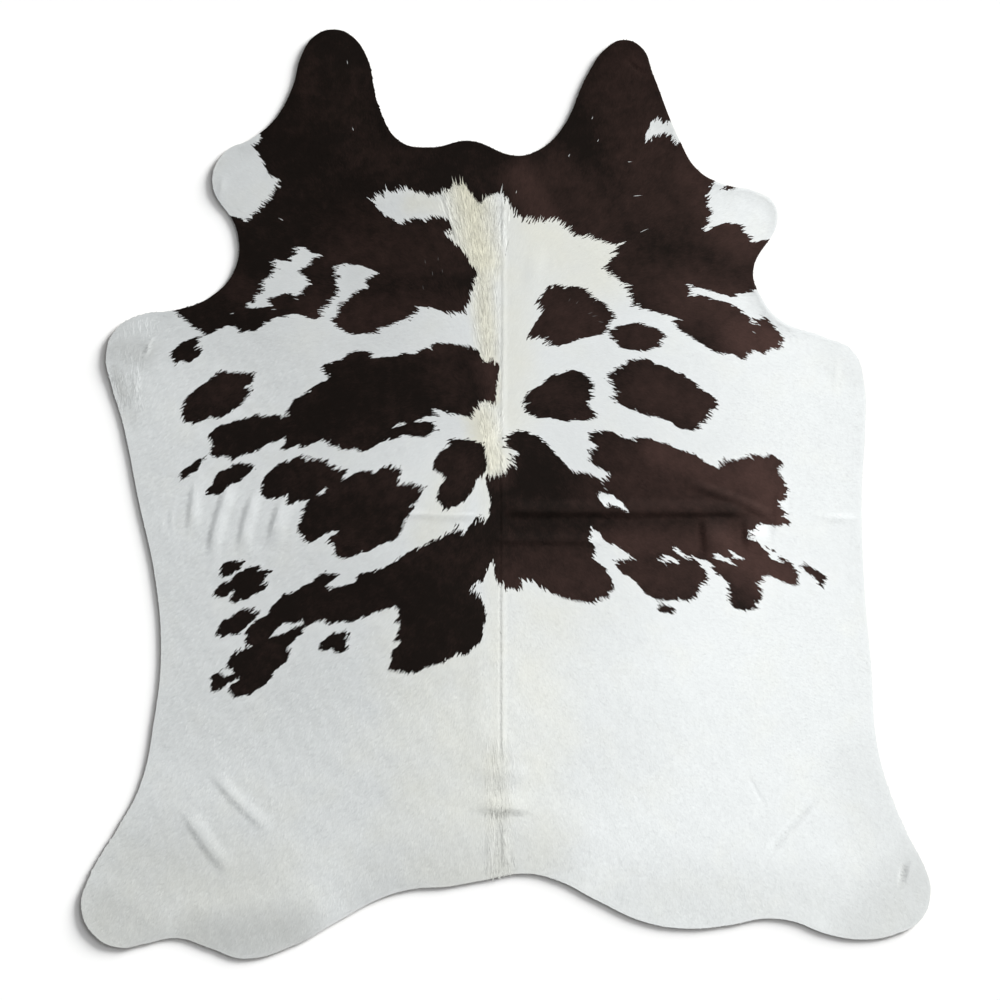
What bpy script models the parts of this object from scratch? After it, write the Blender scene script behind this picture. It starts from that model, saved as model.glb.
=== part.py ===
"""Cowhide rug: one whole hide, hair side up, laid flat with the low folds that packing left in it.

Metres, +Z up, the neck towards +Y. The origin is under the middle of the hide, on the floor.
"""
import math
from collections import namedtuple

import bpy
from mathutils import Vector
from mathutils.geometry import delaunay_2d_cdt
from mathutils.kdtree import KDTree

# Driving dimensions.
HIDE_THICKNESS = 0.005    # leather with the coat that lies flat on it
RIM_RISE = 0.0025         # how far the dried rim stands off the floor
RIM_BAND = 0.045          # width of the strip that turns up to the rim
FOLD_TAPER = 0.07         # length over which a fold dies away at each end

# How finely the sheet is cut into triangles.
EDGE_STEPS = 4            # pieces of edge between two rows of HIDE_EDGE
RIM_ROW_SPACING = 0.045   # along the row where the rim strip begins
FIELD_SPACING = 0.085     # over the flat parts
FOLD_GAP = 0.006          # closest that two points of a fold may come
EDGE_GAP = 0.014          # closest that an inner point may come to the edge

# The cut edge of the hide, clockwise seen from above. Each row is a point (x, y) of a smooth
# closed curve, at the tips, hollows and turns of that stretch.
HIDE_EDGE = {
    "left_cheek": (
        (-0.513, 0.975), (-0.490, 1.055), (-0.460, 1.099), (-0.416, 1.115),
        (-0.374, 1.102), (-0.335, 1.051), (-0.307, 0.935),
    ),
    "neck": (
        (-0.255, 0.847), (-0.180, 0.832), (-0.088, 0.848), (0.025, 0.812),
        (0.075, 0.824), (0.130, 0.871),
    ),
    "right_cheek": (
        (0.199, 1.013), (0.238, 1.068), (0.282, 1.090), (0.327, 1.070),
        (0.352, 1.010), (0.417, 0.848), (0.458, 0.780),
    ),
    "right_foreleg": (
        (0.514, 0.746), (0.600, 0.726), (0.640, 0.702), (0.652, 0.660),
        (0.593, 0.534), (0.612, 0.474), (0.659, 0.417),
    ),
    "right_shoulder": (
        (0.762, 0.378), (0.835, 0.340), (0.860, 0.265), (0.862, 0.150),
    ),
    "right_flank": (
        (0.854, 0.000), (0.860, -0.218), (0.877, -0.415), (0.889, -0.590),
        (0.914, -0.693), (0.964, -0.817),
    ),
    "right_hind_leg": (
        (1.008, -0.904), (1.019, -0.958), (0.995, -1.022), (0.930, -1.058),
        (0.856, -1.069), (0.770, -1.056), (0.690, -1.026), (0.622, -1.019),
    ),
    "rump": (
        (0.540, -1.034), (0.435, -1.043), (0.329, -1.026), (0.216, -0.974),
        (0.125, -0.928), (0.051, -0.911), (-0.060, -0.928), (-0.140, -0.942),
        (-0.224, -0.948), (-0.300, -0.970), (-0.405, -1.026), (-0.506, -1.082),
    ),
    "left_hind_leg": (
        (-0.630, -1.115), (-0.710, -1.090), (-0.788, -1.066), (-0.870, -1.080),
        (-0.924, -1.089), (-0.982, -1.065), (-1.019, -0.997), (-1.000, -0.920),
        (-0.930, -0.800),
    ),
    "left_flank": (
        (-0.878, -0.701), (-0.845, -0.547), (-0.828, -0.386), (-0.841, -0.207),
        (-0.882, -0.014), (-0.921, 0.176), (-0.947, 0.262),
    ),
    "left_shoulder": (
        (-0.960, 0.332), (-0.936, 0.395), (-0.876, 0.430), (-0.790, 0.442),
        (-0.708, 0.474),
    ),
    "left_foreleg": (
        (-0.650, 0.541), (-0.645, 0.629), (-0.705, 0.750), (-0.673, 0.822),
        (-0.614, 0.851), (-0.556, 0.898),
    ),
}

# Soft ridges. A crest runs from (x0, y0) to (x1, y1); bow is how far its middle stands off the
# straight line, to the left of that run; half_width and height are its section.
Fold = namedtuple("Fold", "x0 y0 x1 y1 bow half_width height")
FOLDS = {
    "spine_left": Fold(-0.026, 0.735, -0.026, -0.645, 0.000, 0.017, 0.0022),
    "spine_right": Fold(0.008, 0.735, 0.008, -0.645, 0.000, 0.017, 0.0022),
    "tail_left": Fold(-0.038, -0.770, -0.038, -0.915, 0.000, 0.020, 0.0025),
    "tail_right": Fold(0.012, -0.770, 0.014, -0.905, 0.000, 0.018, 0.0025),
    "rump_wave_upper": Fold(-0.110, -0.663, 0.070, -0.663, 0.000, 0.028, 0.0025),
    "rump_wave_lower": Fold(-0.120, -0.746, 0.070, -0.742, 0.000, 0.028, 0.0030),
    "half_fold_left": Fold(-0.520, -0.038, 0.010, -0.036, 0.000, 0.020, 0.0020),
    "half_fold_right": Fold(-0.010, -0.036, 0.660, -0.040, 0.000, 0.020, 0.0028),
    "half_fold_flank": Fold(0.700, -0.055, 0.880, -0.060, 0.000, 0.018, 0.0020),
    "second_fold": Fold(-0.200, -0.108, 0.240, -0.108, 0.000, 0.020, 0.0020),
    "flank_ripple_1": Fold(-0.752, -0.115, -0.728, 0.035, 0.002, 0.018, 0.0030),
    "flank_ripple_2": Fold(-0.719, -0.172, -0.657, 0.025, 0.010, 0.019, 0.0038),
    "flank_ripple_3": Fold(-0.654, -0.150, -0.594, 0.010, 0.007, 0.019, 0.0038),
    "flank_ripple_4": Fold(-0.582, -0.150, -0.522, 0.008, 0.007, 0.019, 0.0034),
    "belly_ripple_1": Fold(0.470, -0.005, 0.502, -0.155, 0.000, 0.017, 0.0032),
    "belly_ripple_2": Fold(0.562, -0.030, 0.592, -0.160, 0.000, 0.016, 0.0030),
    "belly_ripple_3": Fold(0.608, 0.015, 0.642, -0.085, 0.000, 0.015, 0.0028),
    "belly_ripple_4": Fold(0.425, 0.012, 0.580, -0.012, 0.000, 0.016, 0.0025),
    "left_hind_crease_upper": Fold(-0.708, -0.650, -0.550, -0.812, 0.002, 0.021, 0.0038),
    "left_hind_crease_lower": Fold(-0.768, -0.740, -0.660, -0.906, 0.002, 0.023, 0.0038),
    "right_hind_crease": Fold(0.590, -0.900, 0.790, -0.710, 0.008, 0.032, 0.0022),
    "left_shoulder_wave_1": Fold(-0.925, 0.325, -0.885, 0.430, 0.000, 0.024, 0.0032),
    "left_shoulder_wave_2": Fold(-0.912, 0.180, -0.874, 0.325, 0.000, 0.022, 0.0032),
    "left_shoulder_wave_3": Fold(-0.812, 0.350, -0.770, 0.436, 0.000, 0.022, 0.0028),
    "withers_wave": Fold(0.058, 0.475, 0.088, 0.600, 0.004, 0.028, 0.0022),
}

# Tips of the hide that curl up as it dries: centre (x, y), reach and height at the centre.
Curl = namedtuple("Curl", "x y reach height")
CURLS = {
    "left_cheek": Curl(-0.418, 1.125, 0.150, 0.0040),
    "right_cheek": Curl(0.284, 1.100, 0.150, 0.0040),
    "left_foreleg": Curl(-0.715, 0.760, 0.110, 0.0030),
    "right_foreleg": Curl(0.662, 0.665, 0.110, 0.0030),
    "left_shoulder": Curl(-0.965, 0.350, 0.130, 0.0035),
    "left_hind_leg": Curl(-1.020, -1.060, 0.190, 0.0050),
    "right_hind_leg": Curl(1.020, -1.000, 0.170, 0.0045),
}

COAT_COLOUR = (0.66, 0.65, 0.61, 1.0)
COAT_ROUGHNESS = 0.75


def start_empty_scene():
    for thing in list(bpy.data.objects):
        bpy.data.objects.remove(thing, do_unlink=True)


def new_collection(name):
    collection = bpy.data.collections.new(name)
    bpy.context.scene.collection.children.link(collection)
    return collection


def edge_curve(collection):
    """The hide's edge as a smooth closed curve: the guide that the sheet is cut to."""
    rows = [row for stretch in HIDE_EDGE.values() for row in stretch]
    curve = bpy.data.curves.new("hide_edge", "CURVE")
    curve.dimensions = "2D"
    curve.fill_mode = "NONE"
    curve.resolution_u = EDGE_STEPS
    spline = curve.splines.new("BEZIER")
    spline.use_cyclic_u = True
    spline.bezier_points.add(len(rows) - 1)
    for point, (x, y) in zip(spline.bezier_points, rows):
        point.co = (x, y, 0.0)
        point.handle_left_type = "AUTO"
        point.handle_right_type = "AUTO"
    guide = bpy.data.objects.new("hide_edge", curve)
    guide.hide_render = True
    guide.display_type = "WIRE"
    collection.objects.link(guide)
    return guide


def curve_points(guide):
    """The curve's points in order, counter-clockwise seen from above."""
    depsgraph = bpy.context.evaluated_depsgraph_get()
    mesh = bpy.data.meshes.new_from_object(guide.evaluated_get(depsgraph))
    points = [vertex.co.to_2d() for vertex in mesh.vertices]
    bpy.data.meshes.remove(mesh)
    points.reverse()
    return points


def inside(point, outline):
    """True where a ray to +X from the point crosses the outline an odd number of times."""
    crossings = 0
    for a, b in zip(outline, outline[1:] + outline[:1]):
        if (a.y > point.y) != (b.y > point.y):
            x = a.x + (b.x - a.x) * (point.y - a.y) / (b.y - a.y)
            crossings += x > point.x
    return crossings % 2 == 1


def edge_distance(point, outline):
    """Shortest distance from the point to the outline."""
    best = math.inf
    for a, b in zip(outline, outline[1:] + outline[:1]):
        run = b - a
        t = max(0.0, min(1.0, (point - a).dot(run) / run.length_squared))
        best = min(best, (a + run * t - point).length_squared)
    return math.sqrt(best)


def bump(offset, reach):
    """A soft section: 1 in the middle, 0 from reach outwards, with no corner."""
    return max(0.0, 1.0 - (offset / reach) ** 2) ** 2


def fold_frame(fold):
    """A fold's start, its unit direction, its unit left-hand normal and its length."""
    start = Vector((fold.x0, fold.y0))
    run = Vector((fold.x1, fold.y1)) - start
    along = run.normalized()
    return start, along, Vector((-along.y, along.x)), run.length


def bow_at(fold, share):
    """How far the crest stands off its straight line at this share of its length."""
    return fold.bow * 4.0 * share * (1.0 - share)


def fold_rise(fold, point):
    start, along, left, length = fold_frame(fold)
    distance = (point - start).dot(along)
    if not 0.0 < distance < length:
        return 0.0
    offset = (point - start).dot(left) - bow_at(fold, distance / length)
    taper = min(FOLD_TAPER, length / 2)
    end_share = min(distance, length - distance) / taper
    return fold.height * bump(offset, fold.half_width) * (1.0 - bump(min(end_share, 1.0), 1.0))


def rise(point, outline):
    """Height of the underside above the floor: folds, curled tips and the turned-up rim."""
    folds = math.sqrt(sum(fold_rise(fold, point) ** 2 for fold in FOLDS.values()))
    curls = sum(
        curl.height * bump((point - Vector((curl.x, curl.y))).length, curl.reach)
        for curl in CURLS.values()
    )
    rim_share = max(0.0, 1.0 - edge_distance(point, outline) / RIM_BAND)
    return folds + curls + RIM_RISE * rim_share ** 2


def fold_points(fold):
    """Rows of points along the crest, both slopes and both feet of a fold."""
    start, along, left, length = fold_frame(fold)
    steps = max(4, round(length / (2.2 * fold.half_width)))
    for section in (0.0, -0.55, 0.55, -1.0, 1.0):
        for step in range(steps + 1):
            share = step / steps
            offset = bow_at(fold, share) + section * fold.half_width
            yield start + along * (share * length) + left * offset


def rim_points(outline):
    """A row of points where the rim strip begins, that far inside the edge."""
    walked = RIM_ROW_SPACING
    for before, point, after in zip(outline, outline[1:], outline[2:] + outline[:1]):
        walked += (point - before).length
        if walked >= RIM_ROW_SPACING:
            walked = 0.0
            run = (after - before).normalized()
            yield point + Vector((-run.y, run.x)) * RIM_BAND


def field_points(outline):
    """Staggered rows of points over the flat parts."""
    low_x = min(point.x for point in outline)
    high_x = max(point.x for point in outline)
    low_y = min(point.y for point in outline)
    high_y = max(point.y for point in outline)
    row_height = FIELD_SPACING * math.sqrt(3) / 2
    for row in range(int((high_y - low_y) / row_height) + 1):
        shift = FIELD_SPACING / 2 * (row % 2)
        for column in range(int((high_x - low_x) / FIELD_SPACING) + 1):
            yield Vector((low_x + shift + column * FIELD_SPACING, low_y + row * row_height))


def spread(candidates, gap, kept, outline):
    """Adds the candidates that lie on the hide and no closer than the gap to a kept point."""
    tree = KDTree(len(kept))
    for index, point in enumerate(kept):
        tree.insert(point.to_3d(), index)
    tree.balance()
    fresh = []
    for point in candidates:
        if kept and tree.find(point.to_3d())[2] < gap:
            continue
        if any((point - other).length < gap for other in fresh):
            continue
        if inside(point, outline) and edge_distance(point, outline) > EDGE_GAP:
            fresh.append(point)
    kept.extend(fresh)


def hide_surface(outline):
    """The underside of the hide: a net of triangles inside the edge, lifted along the folds."""
    kept = []
    for fold in FOLDS.values():
        spread(fold_points(fold), FOLD_GAP, kept, outline)
    spread(rim_points(outline), RIM_BAND / 2, kept, outline)
    spread(field_points(outline), FIELD_SPACING / 2, kept, outline)
    points = outline + kept
    edge_loop = list(range(len(outline)))
    inside_constraints = 1
    flat, _, faces, *_ = delaunay_2d_cdt(points, [], [edge_loop], inside_constraints, 1e-6)
    mesh = bpy.data.meshes.new("hide")
    mesh.from_pydata([(p.x, p.y, rise(p, outline)) for p in flat], [], faces)
    return mesh


def coat_material():
    material = bpy.data.materials.new("hair_coat")
    material.use_nodes = True
    shader = material.node_tree.nodes["Principled BSDF"]
    shader.inputs["Base Color"].default_value = COAT_COLOUR
    shader.inputs["Roughness"].default_value = COAT_ROUGHNESS
    shader.inputs["Metallic"].default_value = 0.0
    return material


def build_hide(collection, guide):
    """The hide itself: its underside, thickened upwards."""
    mesh = hide_surface(curve_points(guide))
    mesh.shade_smooth()
    mesh.materials.append(coat_material())
    hide = bpy.data.objects.new("hide", mesh)
    collection.objects.link(hide)
    thickness = hide.modifiers.new("thickness", "SOLIDIFY")
    thickness.thickness = HIDE_THICKNESS
    thickness.offset = 1.0
    return hide


start_empty_scene()
edge_guide = edge_curve(new_collection("guides"))
build_hide(new_collection("cowhide_rug"), edge_guide)
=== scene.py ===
import math
from collections import namedtuple

import bpy
import numpy as np
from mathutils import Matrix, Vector
from mathutils.geometry import delaunay_2d_cdt


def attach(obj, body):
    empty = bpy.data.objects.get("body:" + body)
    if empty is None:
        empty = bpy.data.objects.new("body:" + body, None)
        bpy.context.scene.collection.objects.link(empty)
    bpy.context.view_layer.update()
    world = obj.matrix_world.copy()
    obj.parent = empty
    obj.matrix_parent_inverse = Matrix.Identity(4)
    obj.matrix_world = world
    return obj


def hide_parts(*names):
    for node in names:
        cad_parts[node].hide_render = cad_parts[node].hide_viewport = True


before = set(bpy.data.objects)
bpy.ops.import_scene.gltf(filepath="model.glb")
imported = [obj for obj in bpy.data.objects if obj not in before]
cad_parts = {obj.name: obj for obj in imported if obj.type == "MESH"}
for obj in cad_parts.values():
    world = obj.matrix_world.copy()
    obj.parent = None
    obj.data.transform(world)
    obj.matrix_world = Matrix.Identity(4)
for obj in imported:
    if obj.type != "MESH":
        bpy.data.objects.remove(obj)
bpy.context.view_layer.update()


# ---------------------------------------------------------------------------------------------
# The studio: a plain white floor, soft lamps far off past the right shoulder, one low and one
# high and weak, a pale sky that fills the shadows, and a camera straight above the hide.
FLOOR_WIDTH = 30.0
FLOOR_WHITE = (0.93, 0.93, 0.93, 1.0)
FLOOR_SPECKLE = (0.92, 0.92, 0.92, 1.0)
SKY_COLOUR = (0.97, 0.985, 1.0, 1.0)
SKY_STRENGTH = 0.205
LAMP_COLOUR = (1.0, 1.0, 0.99)
LAMP_AZIMUTH = math.radians(38)
Lamp = namedtuple("Lamp", "elevation softness strength")  # both angles in degrees
LAMPS = {"low_lamp": Lamp(20, 26, 6.15), "high_lamp": Lamp(50, 50, 1.00)}
CAMERA_MIDDLE = (-0.0144, -0.0144)
CAMERA_HEIGHT = 5.0
VIEW_WIDTH = 2.4


def put(tree, kind, values=None, **settings):
    """Adds a node; a value that is another node's output is linked, and any other is set."""
    node = tree.nodes.new(kind)
    for name, setting in settings.items():
        setattr(node, name, setting)
    for socket, value in (values or {}).items():
        if isinstance(value, bpy.types.NodeSocket):
            tree.links.new(value, node.inputs[socket])
        else:
            node.inputs[socket].default_value = value
    return node


def blend(tree, share, first, second):
    """A colour between two others."""
    return put(tree, "ShaderNodeMix", {0: share, 6: first, 7: second}, data_type="RGBA").outputs[2]


def maths(tree, operation, *values):
    return put(tree, "ShaderNodeMath", dict(enumerate(values)), operation=operation).outputs[0]


def noise(tree, place, scale, detail=2.0, roughness=0.5):
    """Soft random value around one half at each place."""
    values = {"Vector": place, "Scale": scale, "Detail": detail, "Roughness": roughness}
    return put(tree, "ShaderNodeTexNoise", values).outputs[0]


def new_material(name, roughness, specular):
    """A material with its shader, its node tree and its places in the object's own metres."""
    material = bpy.data.materials.new(name)
    material.use_nodes = True
    tree = material.node_tree
    shader = tree.nodes["Principled BSDF"]
    shader.inputs["Roughness"].default_value = roughness
    shader.inputs["Specular IOR Level"].default_value = specular
    return material, tree, shader, put(tree, "ShaderNodeTexCoord").outputs["Object"]


bpy.ops.object.select_all(action="DESELECT")
bpy.ops.mesh.primitive_plane_add(size=FLOOR_WIDTH)
floor = bpy.context.object
floor.name = "floor"
floor_paint, paint_tree, paint_shader, paint_place = new_material("floor paint", 0.9, 0.1)
paint_speckle = noise(paint_tree, paint_place, scale=40.0)
floor_tint = blend(paint_tree, paint_speckle, FLOOR_WHITE, FLOOR_SPECKLE)
paint_tree.links.new(floor_tint, paint_shader.inputs["Base Color"])
floor.data.materials.append(floor_paint)

sky = bpy.data.worlds.new("sky")
sky.use_nodes = True
sky.node_tree.nodes["Background"].inputs["Color"].default_value = SKY_COLOUR
sky.node_tree.nodes["Background"].inputs["Strength"].default_value = SKY_STRENGTH
bpy.context.scene.world = sky

for name, lamp in LAMPS.items():
    lamp_data = bpy.data.lights.new(name, "SUN")
    lamp_data.angle = math.radians(lamp.softness)
    lamp_data.energy = lamp.strength
    lamp_data.color = LAMP_COLOUR
    lamp_object = bpy.data.objects.new(name, lamp_data)
    elevation = math.radians(lamp.elevation)
    lamp_direction = Vector((
        math.cos(elevation) * math.cos(LAMP_AZIMUTH),
        math.cos(elevation) * math.sin(LAMP_AZIMUTH),
        math.sin(elevation),
    ))
    lamp_object.rotation_euler = lamp_direction.to_track_quat("Z", "Y").to_euler()
    bpy.context.scene.collection.objects.link(lamp_object)

camera_data = bpy.data.cameras.new("camera")
camera_data.type = "ORTHO"
camera_data.ortho_scale = VIEW_WIDTH
camera = bpy.data.objects.new("camera", camera_data)
camera.location = (*CAMERA_MIDDLE, CAMERA_HEIGHT)
bpy.context.scene.collection.objects.link(camera)
bpy.context.scene.camera = camera
bpy.context.scene.view_settings.view_transform = "Standard"


# ---------------------------------------------------------------------------------------------
# The hide: one tanned skin, cut round by hand, with its cheeks, forelegs and hind legs left on.
# The flesh side is sanded to suede and the edge is raw. It keeps the soft ridges and ripples of
# the folded pack, and its rim and tips have dried a little upwards.
LEATHER = 0.0018           # thickness at the cut edge
LEATHER_AND_WOOL = 0.0034  # thickness to the top of the undercoat, away from the edge
WOOL_SINK = 0.0001         # how far the skin's own wool lies under the locks of the coat
EDGE_ROUNDING = 0.008      # width over which the top comes down to the cut edge
RIM_RISE = 0.0062          # how far the cut edge is turned up
RIM_BAND = 0.045           # width over which it turns up
FOLD_TAPER = 0.07          # length over which a fold dies out at its ends
LEVEL_GROUND = 0.0002      # height of fold up to which the hide's net stays wide
TOP_SPACING = 0.0110       # of the net's points on top
BACK_SPACING = 0.0160      # and on the flesh side
TOP_ROWS = (0.003, 0.008)  # distances from the cut edge of the rows of points that follow it
BACK_ROWS = (0.012,)
ROW_CLEARANCE = 0.8        # share of the spacing that the net keeps from those rows
EDGE_STEPS = 8             # points of the cut edge from one given point to the next
SCATTER = 0.42             # share of the spacing by which the roots of hair stray
SPOT_REACH = 0.02          # distance up to which the edge of a spot is felt
SPOT_SOFTNESS = 0.0012     # how quickly the undercoat changes colour at the edge of a spot
SMOOTH_ANGLE = math.radians(50)
WOOL, RAW_EDGE, SUEDE = range(3)
# Where the two sides lie in the bake: u and v of a corner, width and height; one is mirrored.
BAKE_TOP = (0.01, 0.01, 0.66, 0.97)
BAKE_BACK = (0.995, 0.01, -0.30, 0.34)

# The cut edge, clockwise seen from above: points (x, y) of a smooth closed curve, in metres.
HIDE_EDGE = {
    "left_cheek": (
        (-0.513, 0.975), (-0.490, 1.055), (-0.460, 1.099), (-0.416, 1.115),
        (-0.374, 1.102), (-0.335, 1.051), (-0.307, 0.935),
    ),
    "neck": (
        (-0.255, 0.847), (-0.180, 0.832), (-0.088, 0.848), (0.025, 0.812),
        (0.075, 0.824), (0.130, 0.871),
    ),
    "right_cheek": (
        (0.199, 1.013), (0.238, 1.068), (0.282, 1.090), (0.327, 1.070),
        (0.352, 1.010), (0.417, 0.848), (0.458, 0.780),
    ),
    "right_foreleg": (
        (0.514, 0.746), (0.600, 0.726), (0.640, 0.702), (0.652, 0.660),
        (0.593, 0.534), (0.612, 0.474), (0.659, 0.417),
    ),
    "right_shoulder": (
        (0.762, 0.378), (0.835, 0.340), (0.860, 0.265), (0.862, 0.150),
    ),
    "right_flank": (
        (0.854, 0.000), (0.860, -0.218), (0.877, -0.415), (0.889, -0.590),
        (0.914, -0.693), (0.964, -0.817),
    ),
    "right_hind_leg": (
        (1.008, -0.904), (1.019, -0.958), (0.995, -1.022), (0.930, -1.058),
        (0.856, -1.069), (0.770, -1.056), (0.690, -1.026), (0.622, -1.019),
    ),
    "rump": (
        (0.540, -1.034), (0.435, -1.043), (0.329, -1.026), (0.216, -0.974),
        (0.125, -0.928), (0.051, -0.911), (-0.060, -0.928), (-0.140, -0.942),
        (-0.224, -0.948), (-0.300, -0.970), (-0.405, -1.026), (-0.506, -1.082),
    ),
    "left_hind_leg": (
        (-0.630, -1.115), (-0.710, -1.090), (-0.788, -1.066), (-0.870, -1.080),
        (-0.924, -1.089), (-0.982, -1.065), (-1.019, -0.997), (-1.000, -0.920),
        (-0.930, -0.800),
    ),
    "left_flank": (
        (-0.878, -0.701), (-0.845, -0.547), (-0.828, -0.386), (-0.841, -0.207),
        (-0.882, -0.014), (-0.921, 0.176), (-0.947, 0.262),
    ),
    "left_shoulder": (
        (-0.960, 0.332), (-0.936, 0.395), (-0.876, 0.430), (-0.790, 0.442),
        (-0.708, 0.474),
    ),
    "left_foreleg": (
        (-0.650, 0.541), (-0.645, 0.629), (-0.705, 0.750), (-0.673, 0.822),
        (-0.614, 0.851), (-0.556, 0.898),
    ),
}

# Soft folds. A crest runs from (x0, y0) to (x1, y1); bow is how far its middle stands off the
# straight line, to the left of that run; half_width and height are its section, a groove's
# height is below nought, and lean moves the crest to the left by that share of half_width.
Fold = namedtuple("Fold", "x0 y0 x1 y1 bow half_width height lean", defaults=(0.0,))
FOLDS = {
    "spine_groove_back": Fold(-0.0128, -0.660, -0.0122, 0.060, 0.001, 0.0055, -0.0003),
    "spine_groove_neck": Fold(-0.0110, 0.230, -0.0105, 0.740, -0.001, 0.0045, -0.0004),
    "spine_right": Fold(-0.0035, -0.660, -0.0035, 0.740, 0.000, 0.0095, 0.0006, 0.58),
    "tail_left": Fold(-0.038, -0.925, -0.038, -0.760, 0.000, 0.014, 0.0006),
    "tail_right": Fold(0.004, -0.925, -0.004, -0.760, 0.000, 0.013, 0.0008, 0.40),
    "tail_wave_upper": Fold(-0.085, -0.668, 0.080, -0.668, 0.000, 0.030, 0.0012),
    "tail_wave_lower": Fold(-0.095, -0.735, 0.080, -0.737, 0.000, 0.034, 0.0032, -0.50),
    "half_fold_left": Fold(-0.300, -0.047, -0.015, -0.052, 0.000, 0.012, 0.0010),
    "half_fold_right": Fold(-0.030, -0.033, 0.600, -0.034, 0.000, 0.024, 0.0046, -0.30),
    "half_fold_belly": Fold(0.420, 0.030, 0.660, -0.066, 0.008, 0.018, 0.0022),
    "half_fold_flank": Fold(0.730, -0.056, 0.870, -0.060, 0.000, 0.013, 0.0010),
    "second_fold": Fold(-0.060, -0.105, 0.245, -0.107, 0.000, 0.017, 0.0021, -0.30),
    "flank_ripple_1": Fold(-0.752, -0.112, -0.730, 0.052, 0.004, 0.021, 0.0020, 0.34),
    "flank_ripple_2": Fold(-0.703, -0.168, -0.642, 0.036, 0.012, 0.022, 0.0028, 0.34),
    "flank_ripple_3": Fold(-0.631, -0.154, -0.580, 0.026, 0.010, 0.022, 0.0025, 0.34),
    "flank_ripple_4": Fold(-0.557, -0.142, -0.508, 0.006, 0.007, 0.026, 0.0028, 0.46),
    "flank_pucker_1": Fold(-0.852, -0.085, -0.838, -0.030, 0.002, 0.006, 0.0003),
    "flank_pucker_2": Fold(-0.829, -0.100, -0.822, -0.045, -0.002, 0.006, 0.0003),
    "flank_pucker_3": Fold(-0.803, -0.104, -0.797, -0.020, 0.002, 0.009, 0.0007),
    "belly_ripple_1": Fold(0.510, -0.170, 0.500, -0.030, 0.000, 0.040, 0.0054, 0.50),
    "belly_ripple_2": Fold(0.606, -0.145, 0.598, -0.045, 0.000, 0.036, 0.0046, 0.50),
    "belly_ripple_3": Fold(0.655, -0.110, 0.672, 0.040, 0.004, 0.020, 0.0012, 0.30),
    "left_hind_crease_upper": Fold(-0.552, -0.812, -0.714, -0.648, 0.006, 0.023, 0.0014, 0.32),
    "left_hind_crease_lower": Fold(-0.652, -0.912, -0.776, -0.736, 0.006, 0.026, 0.0017, 0.32),
    "left_hind_crease_foot": Fold(-0.640, -0.925, -0.712, -0.826, 0.000, 0.030, 0.0012, 0.15),
    "right_hind_crease": Fold(0.612, -0.890, 0.758, -0.720, 0.005, 0.017, -0.0011),
    "right_rump_crease": Fold(0.628, -0.760, 0.572, -0.660, 0.000, 0.008, -0.0004),
    "right_hind_dimple": Fold(0.949, -0.955, 0.966, -0.872, 0.004, 0.013, -0.0018),
    "left_shoulder_crease": Fold(-0.872, 0.310, -0.845, 0.385, 0.000, 0.0052, 0.0015, 0.30),
    "left_shoulder_streak": Fold(-0.896, 0.205, -0.878, 0.305, 0.000, 0.014, 0.0009, 0.30),
    "left_shoulder_dent": Fold(-0.899, 0.170, -0.856, 0.204, 0.003, 0.007, 0.0006),
    "left_foreleg_fold": Fold(-0.690, 0.700, -0.672, 0.775, 0.000, 0.012, 0.0008),
    "right_cheek_crease": Fold(0.345, 1.000, 0.280, 1.054, 0.004, 0.008, -0.0010),
    "withers_wave": Fold(0.058, 0.475, 0.088, 0.610, 0.004, 0.030, 0.0008),
    "right_shoulder_wave": Fold(0.788, 0.250, 0.800, 0.330, 0.000, 0.014, 0.0005),
}

# Tips of the hide that curl up as it dries: centre (x, y), reach and height at the centre.
Curl = namedtuple("Curl", "x y reach height")
CURLS = {
    "left_cheek": Curl(-0.418, 1.125, 0.150, 0.0040),
    "right_cheek": Curl(0.284, 1.100, 0.150, 0.0040),
    "left_foreleg": Curl(-0.715, 0.760, 0.110, 0.0030),
    "right_foreleg": Curl(0.662, 0.665, 0.110, 0.0030),
    "left_shoulder": Curl(-0.965, 0.350, 0.130, 0.0035),
    "left_hind_leg": Curl(-1.020, -1.060, 0.190, 0.0050),
    "right_hind_leg": Curl(1.020, -1.000, 0.170, 0.0045),
}

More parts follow.
